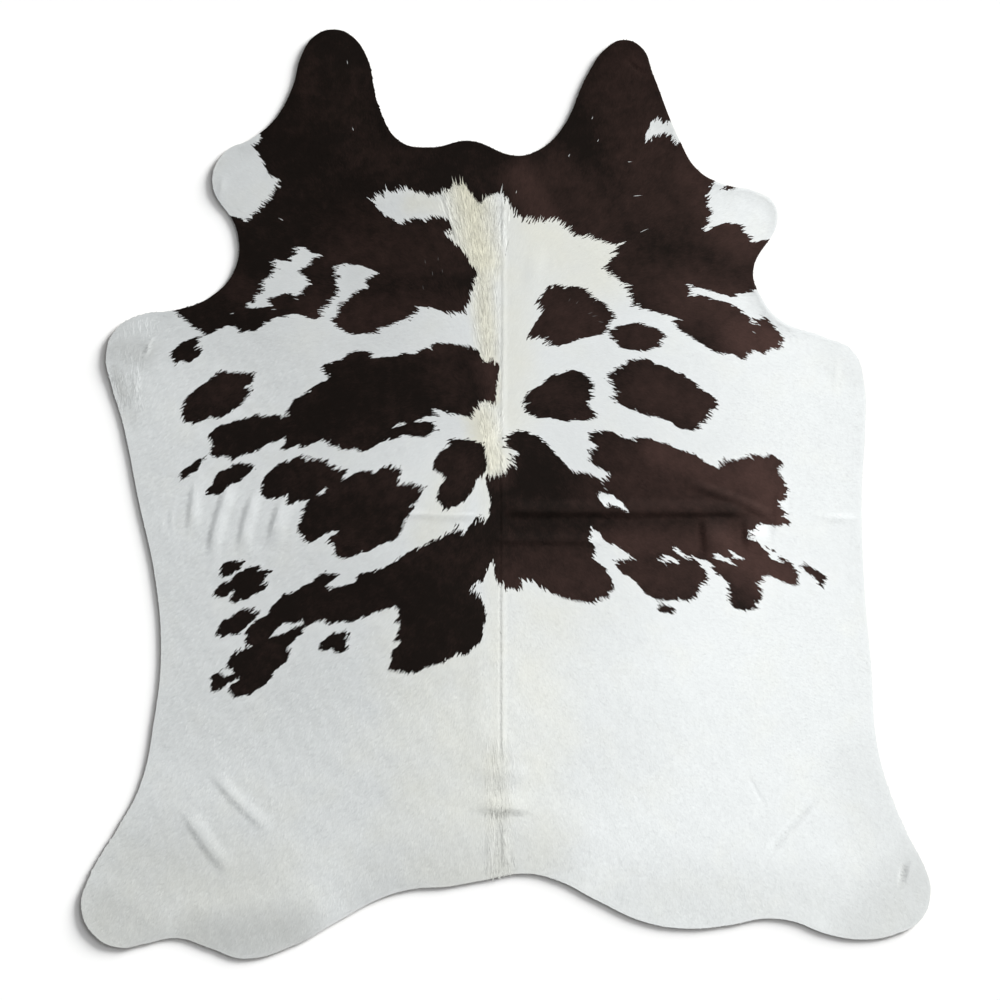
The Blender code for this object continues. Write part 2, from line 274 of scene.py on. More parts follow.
# The dark spots of the coat, and the white islands in them: closed lines of points (x, y) where
# the colour of the hair changes, in centimetres from the middle of the hide.
DARK_SPOTS = {
    "foreleg_mark": (
        (52.5, 73.8), (53.2, 74.2), (54.4, 73.9), (55.6, 73.3), (55.2, 72.8), (53.9, 73.0),
        (52.8, 73.3),
    ),
    "loin_mark": ((-12.8, -7.9), (-12.1, -7.5), (-11.6, -8.0), (-11.9, -8.6), (-12.6, -8.5)),
    "neck_and_shoulders": (
        (-60.5, 88.5), (-56, 100), (-52, 118), (-36, 120), (-20, 96), (0, 92), (14, 102),
        (20, 118), (36, 118), (46, 86), (53, 78), (50.2, 75.2), (50, 74.6), (49.7, 73.8),
        (49.2, 72.9), (48.3, 72.1), (49.1, 71.8), (49.4, 71.2), (49, 70.2), (48.4, 69.4),
        (49.2, 68.8), (49.9, 68), (50, 67.4), (49.3, 67), (49, 66.4), (49.3, 65.4), (48.7, 64.7),
        (48.1, 64.1), (48.7, 63.4), (49.7, 63.5), (50.3, 64.1), (51.2, 64.6), (52.5, 65.1),
        (54, 65.4), (55.3, 65.1), (57, 64.7), (57.5, 63.9), (58.2, 62.9), (59, 62.2), (59.8, 61.2),
        (60.2, 60.5), (61, 60.6), (61.8, 61.2), (63.4, 61.3), (66, 60), (64, 52), (61.5, 49.7),
        (60.4, 49.1), (59.9, 49), (59.3, 48.4), (58.4, 48.3), (57.4, 47.9), (56, 47.9),
        (55.6, 47.3), (55, 46.9), (54, 47.4), (52.5, 47.8), (51, 48.1), (49.3, 48.7), (48, 49.2),
        (46.7, 49.7), (45.4, 50), (44.6, 50.6), (43.9, 51.1), (44.2, 50.3), (44.8, 49.7),
        (44.5, 49), (44.9, 48), (45.3, 47.4), (46.3, 47.6), (47.6, 47.7), (48.8, 47.3),
        (49.6, 46.9), (50.3, 46.6), (51.2, 46.5), (52.5, 46.1), (54, 45.7), (55, 45.2), (56, 44.6),
        (57, 44.1), (58, 43.3), (58.9, 42.4), (59.1, 41.8), (59.4, 41), (60, 40.5), (60.8, 40.1),
        (60.4, 40.9), (60.2, 41.6), (61, 42.3), (61.4, 41.8), (62, 42.1), (62.7, 42.2),
        (63.5, 41.5), (64.5, 40.6), (65.2, 39.7), (66, 38.7), (66.7, 37.7), (67.2, 36.4),
        (66.2, 36.1), (66.7, 35.3), (66, 34.9), (65.4, 34.3), (64.6, 34.7), (63.8, 34.6),
        (63.1, 33.9), (62.5, 33), (61.7, 33.4), (61, 34), (60, 34.1), (59.2, 33.9), (58.7, 33),
        (58, 32.8), (57.7, 31.8), (56.7, 32.1), (55.8, 32.6), (55.3, 33.3), (54.7, 33.7),
        (53.3, 33.6), (52, 33.4), (51, 33.7), (50, 34.2), (49.2, 34.8), (48, 35.3), (46.8, 36.1),
        (45.5, 36.9), (44.2, 37.8), (43, 38.7), (42, 39.7), (41.1, 40.6), (40.2, 41.4),
        (41.3, 41.7), (42.5, 41.9), (41.2, 42.2), (40, 42.6), (38.6, 43), (37.2, 43.3), (36, 43.8),
        (34.3, 44.1), (32.5, 44.8), (30.9, 45.2), (31.9, 45.8), (30.4, 46.2), (31.2, 46.7),
        (29.4, 47.5), (30.4, 48), (29.4, 48.7), (30.4, 49.2), (29.3, 49.8), (30.7, 50.3),
        (29.2, 50.3), (28.2, 50.8), (27.2, 51.5), (26.2, 52.4), (25.5, 53), (24.6, 53.7),
        (23.9, 54.3), (23.8, 55), (24.9, 55.4), (25.1, 56), (25.6, 56.7), (26.4, 57.2),
        (27.6, 57.6), (26.6, 58), (25.6, 58.2), (26.6, 58.8), (26.1, 59.1), (27.3, 59.6),
        (28.1, 60.2), (28.9, 61), (27.6, 60.3), (26.6, 60), (25.4, 60.1), (24.4, 60.4),
        (23.4, 60.8), (22.4, 61.2), (21.5, 61.6), (20.4, 61.9), (19, 62.1), (17.6, 62.2),
        (16.4, 62.7), (15.4, 63.6), (14.4, 64.3), (13.5, 65.2), (12.8, 66.1), (11.3, 66.2),
        (9.4, 66.1), (7.4, 66.1), (5.5, 66.3), (4, 66.7), (2.8, 67.4), (1.8, 68.2), (1.2, 69),
        (0.8, 70), (0.4, 71), (-0.3, 70.9), (-0.9, 71.6), (-1.5, 71.9), (-2.1, 71.7),
        (-2.9, 71.4), (-3.7, 71.2),
        (-4.4, 70.9), (-5.1, 70.1), (-5.7, 69.7), (-6.3, 69.3), (-6.8, 69.5), (-7.4, 70.3),
        (-8.1, 71.2), (-8.8, 72.2), (-9.4, 73.1), (-9.8, 73.8), (-10.3, 74.3), (-10.9, 73.6),
        (-11.7, 73.6), (-12.5, 74.2), (-12.7, 73.6), (-13, 73), (-13.6, 72.6), (-14.6, 72.8),
        (-15.6, 72.7), (-16.5, 72.4), (-17.6, 72), (-19, 72), (-20.5, 72.5), (-22, 72.8),
        (-23.4, 73.1), (-24.1, 73.8), (-25, 73.6), (-26, 73.2), (-27, 73), (-28.2, 72.7),
        (-28.8, 73.3), (-29.4, 73.1), (-29.3, 72.3), (-30.3, 72.1), (-31.2, 71.8), (-31.8, 71.2),
        (-33, 70.7), (-32, 70), (-31.6, 69.3), (-30.8, 68.7), (-30, 68.1), (-29.8, 67.2),
        (-29.2, 66.8), (-28.4, 67.1), (-27.7, 66.8), (-27.2, 65.7), (-26.3, 65), (-25.3, 65.2),
        (-24.5, 65.9), (-23.3, 66.1), (-22.3, 66.7), (-21, 66.4), (-19.8, 66.2), (-18.6, 66.8),
        (-17.3, 67), (-16, 67), (-15, 66.5), (-14.1, 66.1), (-13.5, 65), (-12.8, 64.2),
        (-12.4, 63.5), (-13.1, 63.1), (-14, 63.1), (-15.4, 62.9), (-14.6, 62.3), (-13.5, 61.5),
        (-12, 60.3), (-10.8, 59.3), (-9.8, 58), (-9.2, 57.2), (-8.8, 56), (-8.2, 55), (-7.4, 54.3),
        (-6.9, 53.5), (-6.7, 52.5), (-7.1, 51.8), (-7.6, 51.3), (-7.5, 50.4), (-7.9, 49.5),
        (-8.2, 48.5), (-8.8, 47.8), (-8.6, 46.6), (-9.3, 45.8), (-10, 45.2), (-9.8, 44.5),
        (-10.5, 44), (-11.6, 43.8), (-13, 43.8), (-14.6, 43.6), (-16, 43.9), (-16.8, 44.3),
        (-17.2, 44.8), (-18.5, 44.9), (-20, 44.7), (-20.8, 45.2), (-22.6, 45.4), (-21.2, 44.6),
        (-21.6, 43.7), (-22.5, 43), (-24, 42.3), (-25.5, 41.7), (-27, 41), (-28.5, 40.4),
        (-29.8, 40), (-30.9, 39.5), (-31, 38.9), (-32, 38.4), (-33, 38.8), (-34, 38.4),
        (-35.5, 38.3), (-37, 38.2), (-38, 38.4), (-39, 38.7), (-40, 39.4), (-41, 40),
        (-41.3, 40.7), (-42.7, 41.5), (-42.2, 42.1), (-41, 42.7), (-40.6, 43.6), (-40.9, 44.7),
        (-40.5, 45.4), (-39.6, 46.2), (-38.4, 46.9), (-37.1, 48), (-35.6, 49.1), (-34, 49.6),
        (-33, 49.9), (-33.9, 50.3), (-34.4, 50.8), (-34, 51.6), (-33.3, 52.3), (-32, 52.7),
        (-30.7, 52.9), (-31.5, 53.4), (-32.3, 54), (-34, 54.5), (-36, 55), (-38.5, 55.3),
        (-40.5, 55), (-42.6, 54.8), (-41.2, 54.2), (-41, 53), (-41.3, 51.6), (-40.9, 50.2),
        (-40.5, 49), (-40.8, 47.9), (-42, 47.2), (-42.7, 46), (-43.2, 45.2), (-44.2, 44.5),
        (-45.3, 44.1), (-44.7, 43.5), (-44.6, 42.6), (-45, 42), (-46.2, 41.9), (-47.5, 42),
        (-48.6, 42.4), (-49.8, 42.9), (-51, 43.2), (-52.3, 43), (-53.5, 42.6), (-55, 42.1),
        (-55.6, 42.3), (-56.3, 41.9), (-57, 41.3), (-58, 40.8), (-59, 40.2), (-60, 39.5),
        (-61, 39), (-62, 38.8), (-63, 39.1), (-63.8, 38.7), (-64.7, 38.1), (-64.4, 38.9),
        (-65, 39.6), (-66, 40.2), (-66.5, 40.6), (-67, 40.2), (-68, 40.1), (-69, 39.6), (-70, 39),
        (-70.8, 38.4), (-71.6, 38.2), (-72.4, 37.9), (-73.2, 37.8), (-73.2, 38.6), (-73.7, 39.2),
        (-74.8, 39.3), (-75.2, 39.9), (-76, 40.2), (-76.5, 41), (-77.5, 41.5), (-78.7, 42.5),
        (-79.4, 43.2), (-80.4, 43.9), (-82, 46), (-76, 53), (-67, 56), (-66.5, 62), (-68, 66.8),
        (-66.9, 67.1), (-65.6, 66.8), (-64.6, 66.2), (-64.1, 65.4), (-63.5, 65.5), (-63, 66.1),
        (-62.3, 66.2), (-61.7, 66.9), (-61, 67.8), (-60, 68.1), (-59.3, 68.8), (-59, 69.8),
        (-58, 70.5), (-57.1, 71.5), (-56.3, 72.8), (-55.7, 74), (-55.2, 75), (-54.3, 75.8),
        (-55.6, 76.2), (-56.2, 76.6), (-57.2, 76.9), (-57.9, 77.8), (-58.4, 78.8), (-58.7, 80),
        (-59.5, 81.2), (-60, 82.5), (-60.9, 83.2), (-61.1, 84), (-60.3, 84.5), (-59.2, 84.8),
        (-59, 85.6), (-59.3, 86.6), (-59.6, 87.3),
    ),
    "saddle": (
        (-4.4, 5), (-3.9, 3.6), (-3.4, 4.4), (-3.2, 5.3), (-2.9, 3.4), (-2.6, 4.8), (-2.3, 5.6),
        (-2, 4.6), (-1.5, 3.9), (-1.1, 4.8), (-0.5, 4.6), (0.1, 5.5), (0.6, 6), (1.4, 6.2),
        (2.3, 6.2), (3.3, 5.9), (2.5, 6.6), (1.6, 7.3), (0.9, 8), (1.8, 8), (2.9, 8), (1.8, 8.4),
        (1.3, 8.9), (2.3, 9), (3.4, 9.3), (2.2, 9.6), (3.6, 10), (2.5, 10.3), (1.8, 10.8),
        (0.4, 10.9), (-0.1, 11.3), (0.6, 11.7), (-0.3, 12.1), (0.4, 12.6), (0.6, 13.4),
        (1.2, 14.2), (2, 14.9), (3, 15.3), (5, 15.2), (6.3, 14.8), (7.3, 14.2), (8.4, 13.8),
        (8.8, 13), (9.8, 12.5), (10.5, 11.8), (10.9, 10.8), (12, 10), (13, 8.8), (14, 7.7),
        (14.8, 6.6), (15.6, 5.6), (17, 5.1), (18.5, 5), (20.3, 4.5), (21.7, 3.9), (23, 3.3),
        (24.4, 3.4), (25.2, 4), (25.9, 4.1), (25.2, 4.8), (24.2, 5.1), (23, 5.7), (22.2, 6.1),
        (21.3, 6.8), (20.7, 7.5), (19.9, 8.3), (20.8, 8.6), (20.2, 9.2), (19.8, 9.9), (20.7, 10.3),
        (21.5, 10.7), (22.3, 11.2), (21.4, 12), (20.5, 12.8), (19.4, 13), (20.4, 13.5), (20.3, 14),
        (21.3, 14.7), (22.5, 15.1), (24, 15.2), (25.5, 15), (26.5, 14.3), (28, 13.5), (29.5, 12.9),
        (30.8, 12.6), (31, 13.3), (32.2, 13.6), (34, 13.4), (35.3, 12.9), (36.4, 12.2), (38, 12.3),
        (39.5, 11.8), (41, 10.9), (42.5, 10.3), (44, 9.8), (45, 9.5), (46, 9), (47, 8.3),
        (48.2, 7.5), (49.2, 6.9), (50.1, 6.5), (51.1, 5.7), (52, 5.1), (51.4, 6.1), (50.6, 7),
        (51.4, 6.9), (52.2, 7.3), (53, 7.6), (52.3, 8.3), (53.6, 7.9), (55.2, 7.8), (56.3, 8.2),
        (57.6, 8.3), (58.6, 8.9), (59.7, 9.6), (60.7, 9.3), (61.8, 8.8), (62.7, 8.5), (62.8, 9.2),
        (63.7, 9.4), (64.8, 9.1), (65.7, 8.4), (66.4, 7.7), (66.8, 6.6), (66.4, 6), (65.4, 5.5),
        (66.1, 4.7), (66.8, 3.8), (67.3, 2.6), (67.9, 1.6), (68.2, 0.6), (68, -0.2), (68.6, -1.2),
        (67.5, -1.4), (67, -1.9), (66.1, -2.5), (66.7, -3.3), (67.2, -4.2), (68, -5.1),
        (67.2, -5.4), (67.7, -6.2), (68.5, -7), (68.3, -7.8), (67, -7.6), (65.8, -8), (64.2, -8),
        (63, -7.4), (62, -7.2), (61, -7.9), (60.9, -8.8), (60, -9), (59.4, -9.2), (59.9, -9.9),
        (59.7, -10.6), (58.5, -11), (59.3, -11.3), (60.3, -11.6), (61.2, -12.1), (61.6, -12.9),
        (62.4, -13.7), (63.4, -14.3), (63.6, -15.2), (64.4, -16), (65.3, -16.3), (66.2, -16.7),
        (66.1, -15.9), (65.8, -15.1), (67, -15.8), (68.3, -16.5), (69.3, -17), (69.8, -18),
        (70.6, -18.7), (70.3, -19.3), (70.9, -20.1), (70.2, -20.6), (70.6, -21.3), (70, -22),
        (69.2, -22.4), (68, -21.9), (66.5, -21.1), (65.2, -20.5), (64, -20), (63, -19.9),
        (61.9, -20.1), (62.3, -21), (61.7, -21.5), (60.6, -22), (61.2, -22.6), (62.1, -23.1),
        (61.7, -23.8), (61.9, -24.8), (61.2, -25.7), (60.5, -26.5), (61, -27.6), (60.2, -27.6),
        (59.3, -28.1), (58, -28.5), (57, -28.2), (55.7, -27.9), (54.7, -27.2), (53.9, -26.6),
        (54.2, -26), (53.5, -25.4), (53.9, -24.7), (53.3, -24), (54, -23.5), (54, -22.7),
        (53.7, -21.8), (53, -20.9), (52.3, -20), (51.5, -19.8), (50.7, -19), (50, -18),
        (49.7, -17), (49.3, -16.5), (48.3, -16.2), (47.2, -16), (46, -15.4), (45.2, -15.1),
        (44.2, -15), (45, -15.6), (46, -16.1), (46.9, -16.8), (47.5, -17.6), (48, -18.4),
        (48.5, -19.2), (48.7, -20), (49, -21), (48.2, -20.9), (48.9, -22.1), (48.1, -21.7),
        (47.6, -21.3), (47.5, -22.2), (46.8, -22.8), (46.8, -23.7), (46.2, -24.5), (46.1, -25.3),
        (45, -25.3), (44.3, -26), (43.5, -26.2), (42.5, -25.7), (41.5, -25.8), (40, -25.7),
        (38.5, -25.7), (37, -25.7), (35.5, -25.1), (34.2, -24.6), (33.3, -24), (32.6, -22.7),
        (31.7, -21.8), (30.7, -20.6), (29.7, -20), (28.5, -19.4), (27.6, -18.5), (26.7, -17.9),
        (26.8, -17.1), (26.7, -16.4), (27.6, -16.3), (28.7, -16), (29.8, -15.9), (31, -15.7),
        (30.3, -15.1), (29.3, -14.4), (28, -13.5), (26.8, -12.7), (24.8, -12), (23.7, -11.1),
        (22.8, -9.9), (22.2, -9), (21.4, -9), (20.5, -9.2), (20.9, -10.2), (20.6, -10.9),
        (21.1, -12), (21.5, -13.3), (21.6, -14.8), (21.3, -15.9), (21.8, -16.3), (23, -17),
        (24.1, -17.9), (24.8, -18.9), (25.2, -20), (25.6, -21.2), (26.2, -22.2), (25.9, -23.2),
        (25.1, -23.9), (24.8, -24.7), (25.7, -25.2), (24.7, -25.3), (23.5, -25.5), (22.5, -26),
        (21.2, -26.6), (19.8, -26.4), (18, -26.2), (16.3, -25.8), (14.6, -25.4), (13, -24.8),
        (11.5, -24.2), (10, -23.5), (8.8, -23.1), (7.8, -22.4), (7, -21.5), (6, -21.2),
        (4.7, -21.4), (3.6, -21.2), (4.2, -22), (4, -23), (3, -23.7), (2, -23.1), (1.4, -22.9),
        (0.6, -23.4), (0, -24), (-0.2, -23.1), (-0.6, -22.2), (-1.1, -22.7), (-1.8, -22),
        (-2.3, -21), (-2.7, -20), (-2.9, -18.2), (-3.3, -16.7), (-3.8, -17), (-4.2, -17.9),
        (-4.7, -19), (-5.1, -20.3), (-5.4, -21.6), (-6.7, -21.6), (-7.5, -22.2), (-8.3, -22.8),
        (-9.5, -23.3), (-8.6, -23.6), (-7.5, -23.4), (-7, -24.4), (-6.5, -25.3), (-5.8, -25.8),
        (-5.3, -27), (-4.9, -28.5), (-4.7, -30), (-5, -31.4), (-5.7, -31.8), (-5.8, -32.5),
        (-5.2, -33), (-5.7, -34.5), (-6.2, -35.7), (-7, -36.4), (-8, -37.6), (-9, -38.5),
        (-10, -39), (-11.3, -39), (-12.5, -39.2), (-13.8, -39.8), (-14.9, -40.7), (-16.2, -41.1),
        (-18, -41.5), (-19.5, -42), (-20.7, -42.8), (-22, -43.3), (-23.5, -43.4), (-25, -43.3),
        (-26.3, -42.9), (-27.7, -42.9), (-28.7, -42.5), (-28, -41), (-27.5, -39.8), (-27.8, -39),
        (-28, -38), (-27, -37.5), (-26, -36.6), (-26.3, -36), (-27.3, -35.5), (-26.5, -34.2),
        (-26, -33), (-25.7, -31.8), (-26.2, -31.2), (-27.1, -31.1), (-26.6, -30.3), (-26.2, -29.5),
        (-26.2, -28.4), (-26.8, -27.9), (-27.1, -26.9), (-28, -27.5), (-29.5, -28), (-31, -28.8),
        (-32, -28.6), (-33.2, -29), (-34, -30.1), (-35, -29.9), (-36, -30.4), (-37, -30.9),
        (-38.2, -31), (-39.5, -30.9), (-41, -31.2), (-42.5, -31.6), (-43.8, -31.1), (-45, -30.8),
        (-46.3, -31), (-47, -31.6), (-48, -32), (-48.8, -32.2), (-49, -31), (-50, -31.1),
        (-51.5, -31.4), (-53, -31.2), (-54.4, -31.5), (-55, -32.3), (-56, -33.5), (-56.9, -34.4),
        (-55.7, -34.3), (-54.5, -33.8), (-53.2, -33.4), (-52, -32.7), (-50.5, -32.2),
        (-49.3, -32.2), (-48.9, -33), (-49.2, -33.9), (-50.3, -34.6), (-51.5, -35.1),
        (-50.3, -35.4), (-51.5, -35.9), (-52.5, -36.5), (-52.9, -37.4), (-52, -38), (-52.3, -39.3),
        (-53, -40.5), (-54, -41.5), (-55, -42), (-56, -42.8), (-56.4, -43.7), (-56.8, -44.6),
        (-57.5, -45.5), (-58.5, -46.4), (-60, -47), (-61.3, -48.2), (-62.5, -48.8), (-63.8, -48.6),
        (-64.8, -49), (-65.7, -49.4), (-66.2, -48.5), (-67, -48), (-66.9, -46.9), (-66.3, -46),
        (-65, -45.4), (-64.2, -44.7), (-64.6, -44.3), (-65.8, -45.1), (-67, -45.8), (-68, -46.6),
        (-69, -47.3), (-70, -47.9), (-71.5, -47.6), (-71.2, -46.4), (-71, -45.2), (-71.3, -44.2),
        (-70.4, -43.2), (-69, -42.9), (-68.2, -43.2), (-68.3, -43.7), (-67.5, -44), (-66.4, -43.8),
        (-65.9, -43.3), (-66.2, -42.3), (-67.2, -42.1), (-67.6, -41.5), (-67, -40.3),
        (-66.3, -39.2), (-65.7, -38.3), (-64.5, -38), (-63, -37.6), (-61.8, -37.4), (-61.2, -37),
        (-62, -36.6), (-63, -36.5), (-62.8, -35.5), (-63, -34.2), (-62.5, -32.9), (-61.5, -31.7),
        (-60.4, -30.5), (-59.2, -30), (-58, -29.5), (-57.3, -28.5), (-56.7, -27.3), (-55.5, -26.3),
        (-54.8, -25.4), (-54.3, -24.3), (-53.5, -23.9), (-52.3, -23.9), (-51, -23.9), (-50, -22.9),
        (-49, -22), (-47.8, -21.8), (-46.8, -21.3), (-46, -20.2), (-45.2, -19.4), (-44.3, -19.5),
        (-43.3, -19.3), (-42.3, -19.3), (-41.4, -19.2), (-41.5, -20.5), (-42.2, -21.3),
        (-43, -21.8), (-43.7, -22.5), (-42.5, -22.3), (-42, -23.1), (-41, -22.6), (-39.6, -22.2),
        (-38, -22.1), (-37, -21.4), (-36.6, -20.4), (-36, -19.7), (-35, -19.1), (-33.5, -19),
        (-32, -18.5), (-30, -18.3), (-28.8, -17.3), (-27.5, -16.7), (-26, -16.1), (-25, -15.1),
        (-24, -14.3), (-22.5, -13.7), (-20.6, -12.8), (-19, -12.3), (-17.5, -11.5), (-16, -10.8),
        (-14.5, -10), (-13, -9.3), (-12, -9), (-11.1, -8.8), (-10.9, -9.3), (-10.2, -9.9),
        (-9.7, -9.5), (-9.3, -8.3), (-8.5, -7.3), (-7.3, -6.8), (-6.5, -6.4), (-5.5, -6.6),
        (-4.7, -7), (-4.3, -6.2), (-4.2, -5), (-4, -3.5), (-3.9, -1.5), (-4.2, 0), (-4.6, 1.5),
        (-4.9, 3), (-4.7, 4.2),
    ),
    "left_shoulder_band": (
        (-72, 13.1), (-71.2, 14.5), (-70.2, 15.4), (-69, 16), (-68, 16.7), (-66.5, 17.1),
        (-65.3, 17.4), (-63.5, 17.6), (-62.2, 18), (-61, 18.6), (-59.5, 18.8), (-58, 18.4),
        (-57, 18.4), (-56.2, 18.9), (-55, 18.8), (-54, 18.1), (-53, 18), (-52.5, 18.6),
        (-53.2, 19.6), (-52.8, 20.4), (-51.8, 21.3), (-51.5, 22.3), (-50, 23.2), (-48.5, 23.8),
        (-47.5, 25), (-46.3, 25.8), (-45, 26.4), (-43.7, 26.9), (-42.7, 27.2), (-42.8, 28),
        (-43.8, 28.8), (-44.9, 30), (-44.2, 30.7), (-42.5, 31.4), (-41, 31.8), (-39.8, 32.2),
        (-39.2, 33), (-38.3, 33.6), (-37.3, 34.1), (-36, 34.3), (-34, 34.3), (-33.1, 33.7),
        (-32.8, 32.8), (-31.5, 32.7), (-30, 32.9), (-28, 32.8), (-26.5, 33.3), (-25.3, 33.8),
        (-24.3, 33.7), (-22.5, 33.5), (-21.4, 33.8), (-21.6, 34.3), (-20.5, 34.9), (-19, 35.2),
        (-18.2, 35.8), (-17.6, 36.5), (-16, 36.3), (-14.8, 36.5), (-13.5, 36.4), (-12, 36.1),
        (-11, 35.8), (-9.8, 35.9), (-8.5, 35.9), (-7.3, 35.2), (-6.3, 34), (-5.7, 32.9),
        (-5, 32.4), (-4.3, 32.5), (-3.7, 32.6), (-3, 32.9), (-2.6, 32), (-1.8, 31.8), (-1.3, 31),
        (-1.7, 29.5), (-1.9, 28), (-2, 26.5), (-2.2, 25), (-2.4, 23.5), (-2.5, 22), (-3.1, 21),
        (-3.6, 21.9), (-4.4, 21.6), (-5, 22.2), (-5.7, 21.5), (-6.4, 21.9), (-7, 21.3),
        (-7.8, 20.8), (-8.1, 19.8), (-8, 18.9), (-9, 18.5), (-10, 18.9), (-11.5, 19.4),
        (-13, 19.2), (-14.5, 19.4), (-15.5, 20), (-16.3, 20.6), (-17.2, 20.4), (-17.5, 19.5),
        (-16.9, 19), (-17.8, 18.6), (-19.5, 18.6), (-21, 18.1), (-22.6, 17.6), (-21, 17.3),
        (-19, 17.3), (-17.8, 17.1), (-17.3, 16.2), (-17.6, 15.2), (-18.3, 14.3), (-19.3, 13.6),
        (-20.5, 13.5), (-22, 13.5), (-23, 13.8), (-24, 14.1), (-25.5, 14), (-26.3, 13.5),
        (-27, 12.9), (-28.5, 12.9), (-29.8, 12.4), (-31, 12), (-32, 11.2), (-33, 10.5), (-34, 9.9),
        (-35.5, 10), (-36.2, 10.4), (-37.5, 10.5), (-39, 10.4), (-39.8, 10.2), (-41, 11.2),
        (-41.8, 10.9), (-42.5, 11), (-42.8, 12), (-43.8, 12.4), (-45, 12.8), (-46.3, 12),
        (-47.8, 11.4), (-48.7, 11), (-50, 10.9), (-50.4, 11.6), (-51.5, 11.1), (-52.7, 10.8),
        (-53.5, 10), (-54.3, 10.8), (-54, 11.8), (-53.3, 12.8), (-53.6, 13.6), (-54.5, 12.9),
        (-55.8, 12.3), (-57.3, 11.8), (-58.5, 11.2), (-59.3, 10.5), (-60.5, 9.8), (-62, 9.6),
        (-63.5, 9.1), (-64.8, 8.6), (-65.7, 7.9), (-66.7, 7.9), (-66.9, 8.8), (-68.3, 8.6),
        (-70, 8.5), (-71.1, 8.7), (-71.5, 9.6), (-71.1, 11), (-71, 12.3),
    ),
    "left_flank": (
        (-59, 2.8), (-58.3, 3.7), (-57.7, 4.5), (-57, 5.3), (-56, 6.2), (-55, 6.9), (-54, 7.5),
        (-53.2, 8), (-52.3, 7.5), (-51.5, 8.2), (-50.5, 8.6), (-49.7, 9.1), (-49.2, 8.5),
        (-48.3, 8.6), (-47.5, 8), (-46.3, 8.4), (-45.6, 7.9), (-44.5, 8.4), (-43.9, 7.9),
        (-42.9, 8.2), (-43.1, 7.2), (-42.4, 6.5), (-40.9, 7.1), (-41.4, 6.1), (-40.4, 5.8),
        (-40.6, 5.1), (-38.7, 5.9), (-39, 5), (-39.4, 4), (-39, 3.3), (-38, 4), (-36.7, 4.6),
        (-35, 5.4), (-33.8, 5.6), (-32.8, 5.5), (-31.8, 4.8), (-30.7, 5.5), (-29.5, 6.2),
        (-28, 6.6), (-27, 6), (-26, 5.9), (-25.4, 5), (-26.1, 4.3), (-25.8, 3.4), (-26.4, 2.6),
        (-25.4, 2), (-24, 2.2), (-23.4, 2.6), (-22.5, 2), (-21.6, 1.5), (-20.4, 1.2), (-20.3, 0),
        (-20.9, -0.9), (-21.8, -2.2), (-22.7, -2.9), (-24, -3.4), (-23.5, -3.7), (-22.2, -4),
        (-23.3, -4.6), (-24, -5.5), (-24.7, -6.7), (-24.8, -7.7), (-25.2, -9), (-26, -10.3),
        (-27, -11.1), (-28.3, -11.9), (-30, -12.3), (-31.3, -12.8), (-32.5, -13.5), (-34, -14.4),
        (-35, -14.1), (-36, -14.9), (-37.5, -15.3), (-39.2, -15.9), (-40.5, -15.5), (-41.3, -15),
        (-41.7, -14.1), (-41.5, -13), (-42, -12.4), (-43, -12.1), (-43.6, -11.6), (-42.7, -10.5),
        (-41.6, -9.7), (-40.9, -8.9), (-42.3, -9.4), (-43.7, -9.7), (-45, -10.8), (-46.5, -11.7),
        (-48, -12.1), (-49, -11.1), (-49.5, -9.8), (-50.5, -9.4), (-50.4, -8.2), (-49.8, -6.8),
        (-49.3, -5), (-49.4, -4), (-48.6, -3), (-47.7, -1.8), (-49, -1.7), (-50.5, -2.3),
        (-52.5, -3.1), (-53.1, -2.2), (-53.2, -1), (-54.5, -1.1), (-56, -1.6), (-58, -1.6),
        (-58.5, -0.8), (-59.3, -1.2), (-58.9, 0), (-59, 1.3),
    ),
    "left_shoulder_oval": (
        (-60.4, 28.3), (-61.5, 28.8), (-63, 28.9), (-64, 29.1), (-65, 29.3), (-66, 28.9),
        (-66.8, 29.3), (-68, 29.2), (-69.5, 29.2), (-70.5, 28.3), (-71.2, 27.4), (-72.5, 26.5),
        (-74, 25.7), (-74.8, 24.8), (-76, 23.9), (-77, 23), (-77.7, 22), (-78, 20.8), (-78.6, 20),
        (-78.2, 19.2), (-78, 18.5), (-77.8, 17.3), (-77.4, 16.6), (-76.3, 16.9), (-75.5, 16.2),
        (-74.3, 16.7), (-73.2, 17.4), (-72, 18), (-70.8, 18), (-69.5, 17.9), (-68.4, 18.2),
        (-67, 19.1), (-65.7, 19.9), (-64.2, 20.9), (-63, 22.3), (-62, 23.4), (-61.5, 24.5),
        (-61.7, 25.4), (-63.2, 25.1), (-62.5, 25.8), (-61.5, 26.3), (-60.9, 27.3),
    ),
    "left_shoulder_small": (
        (-74.2, 38), (-75.3, 37.3), (-76.5, 36.8), (-78, 36.4), (-79, 35.5), (-79.5, 34.7),
        (-80.5, 34.2), (-81, 33.3), (-80.9, 32.6), (-80, 32.4), (-80.3, 31.2), (-79.8, 30.3),
        (-79.2, 31), (-79, 31.8), (-78, 31.9), (-77.2, 31.3), (-76.3, 31.3), (-75.3, 31.8),
        (-74.5, 32.5), (-74, 33.4), (-73.6, 34.5), (-74.5, 34.8), (-73.9, 35.3), (-74.9, 35.6),
        (-74.1, 36.2), (-74.1, 37.2),
    ),
    "left_flank_sliver": (
        (-73, 8.7), (-73.8, 8.4), (-74.5, 8), (-75.3, 7.4), (-75.7, 6.6), (-76.8, 6.1),
        (-77.7, 5.8), (-78.5, 5), (-78.7, 4), (-78.3, 3), (-77.6, 3.3), (-76.8, 4), (-76.3, 4.6),
        (-75.3, 4.6), (-74.6, 5), (-74, 5.7), (-73.7, 6.5), (-73.2, 7.6),
    ),
    "left_flank_drop": (
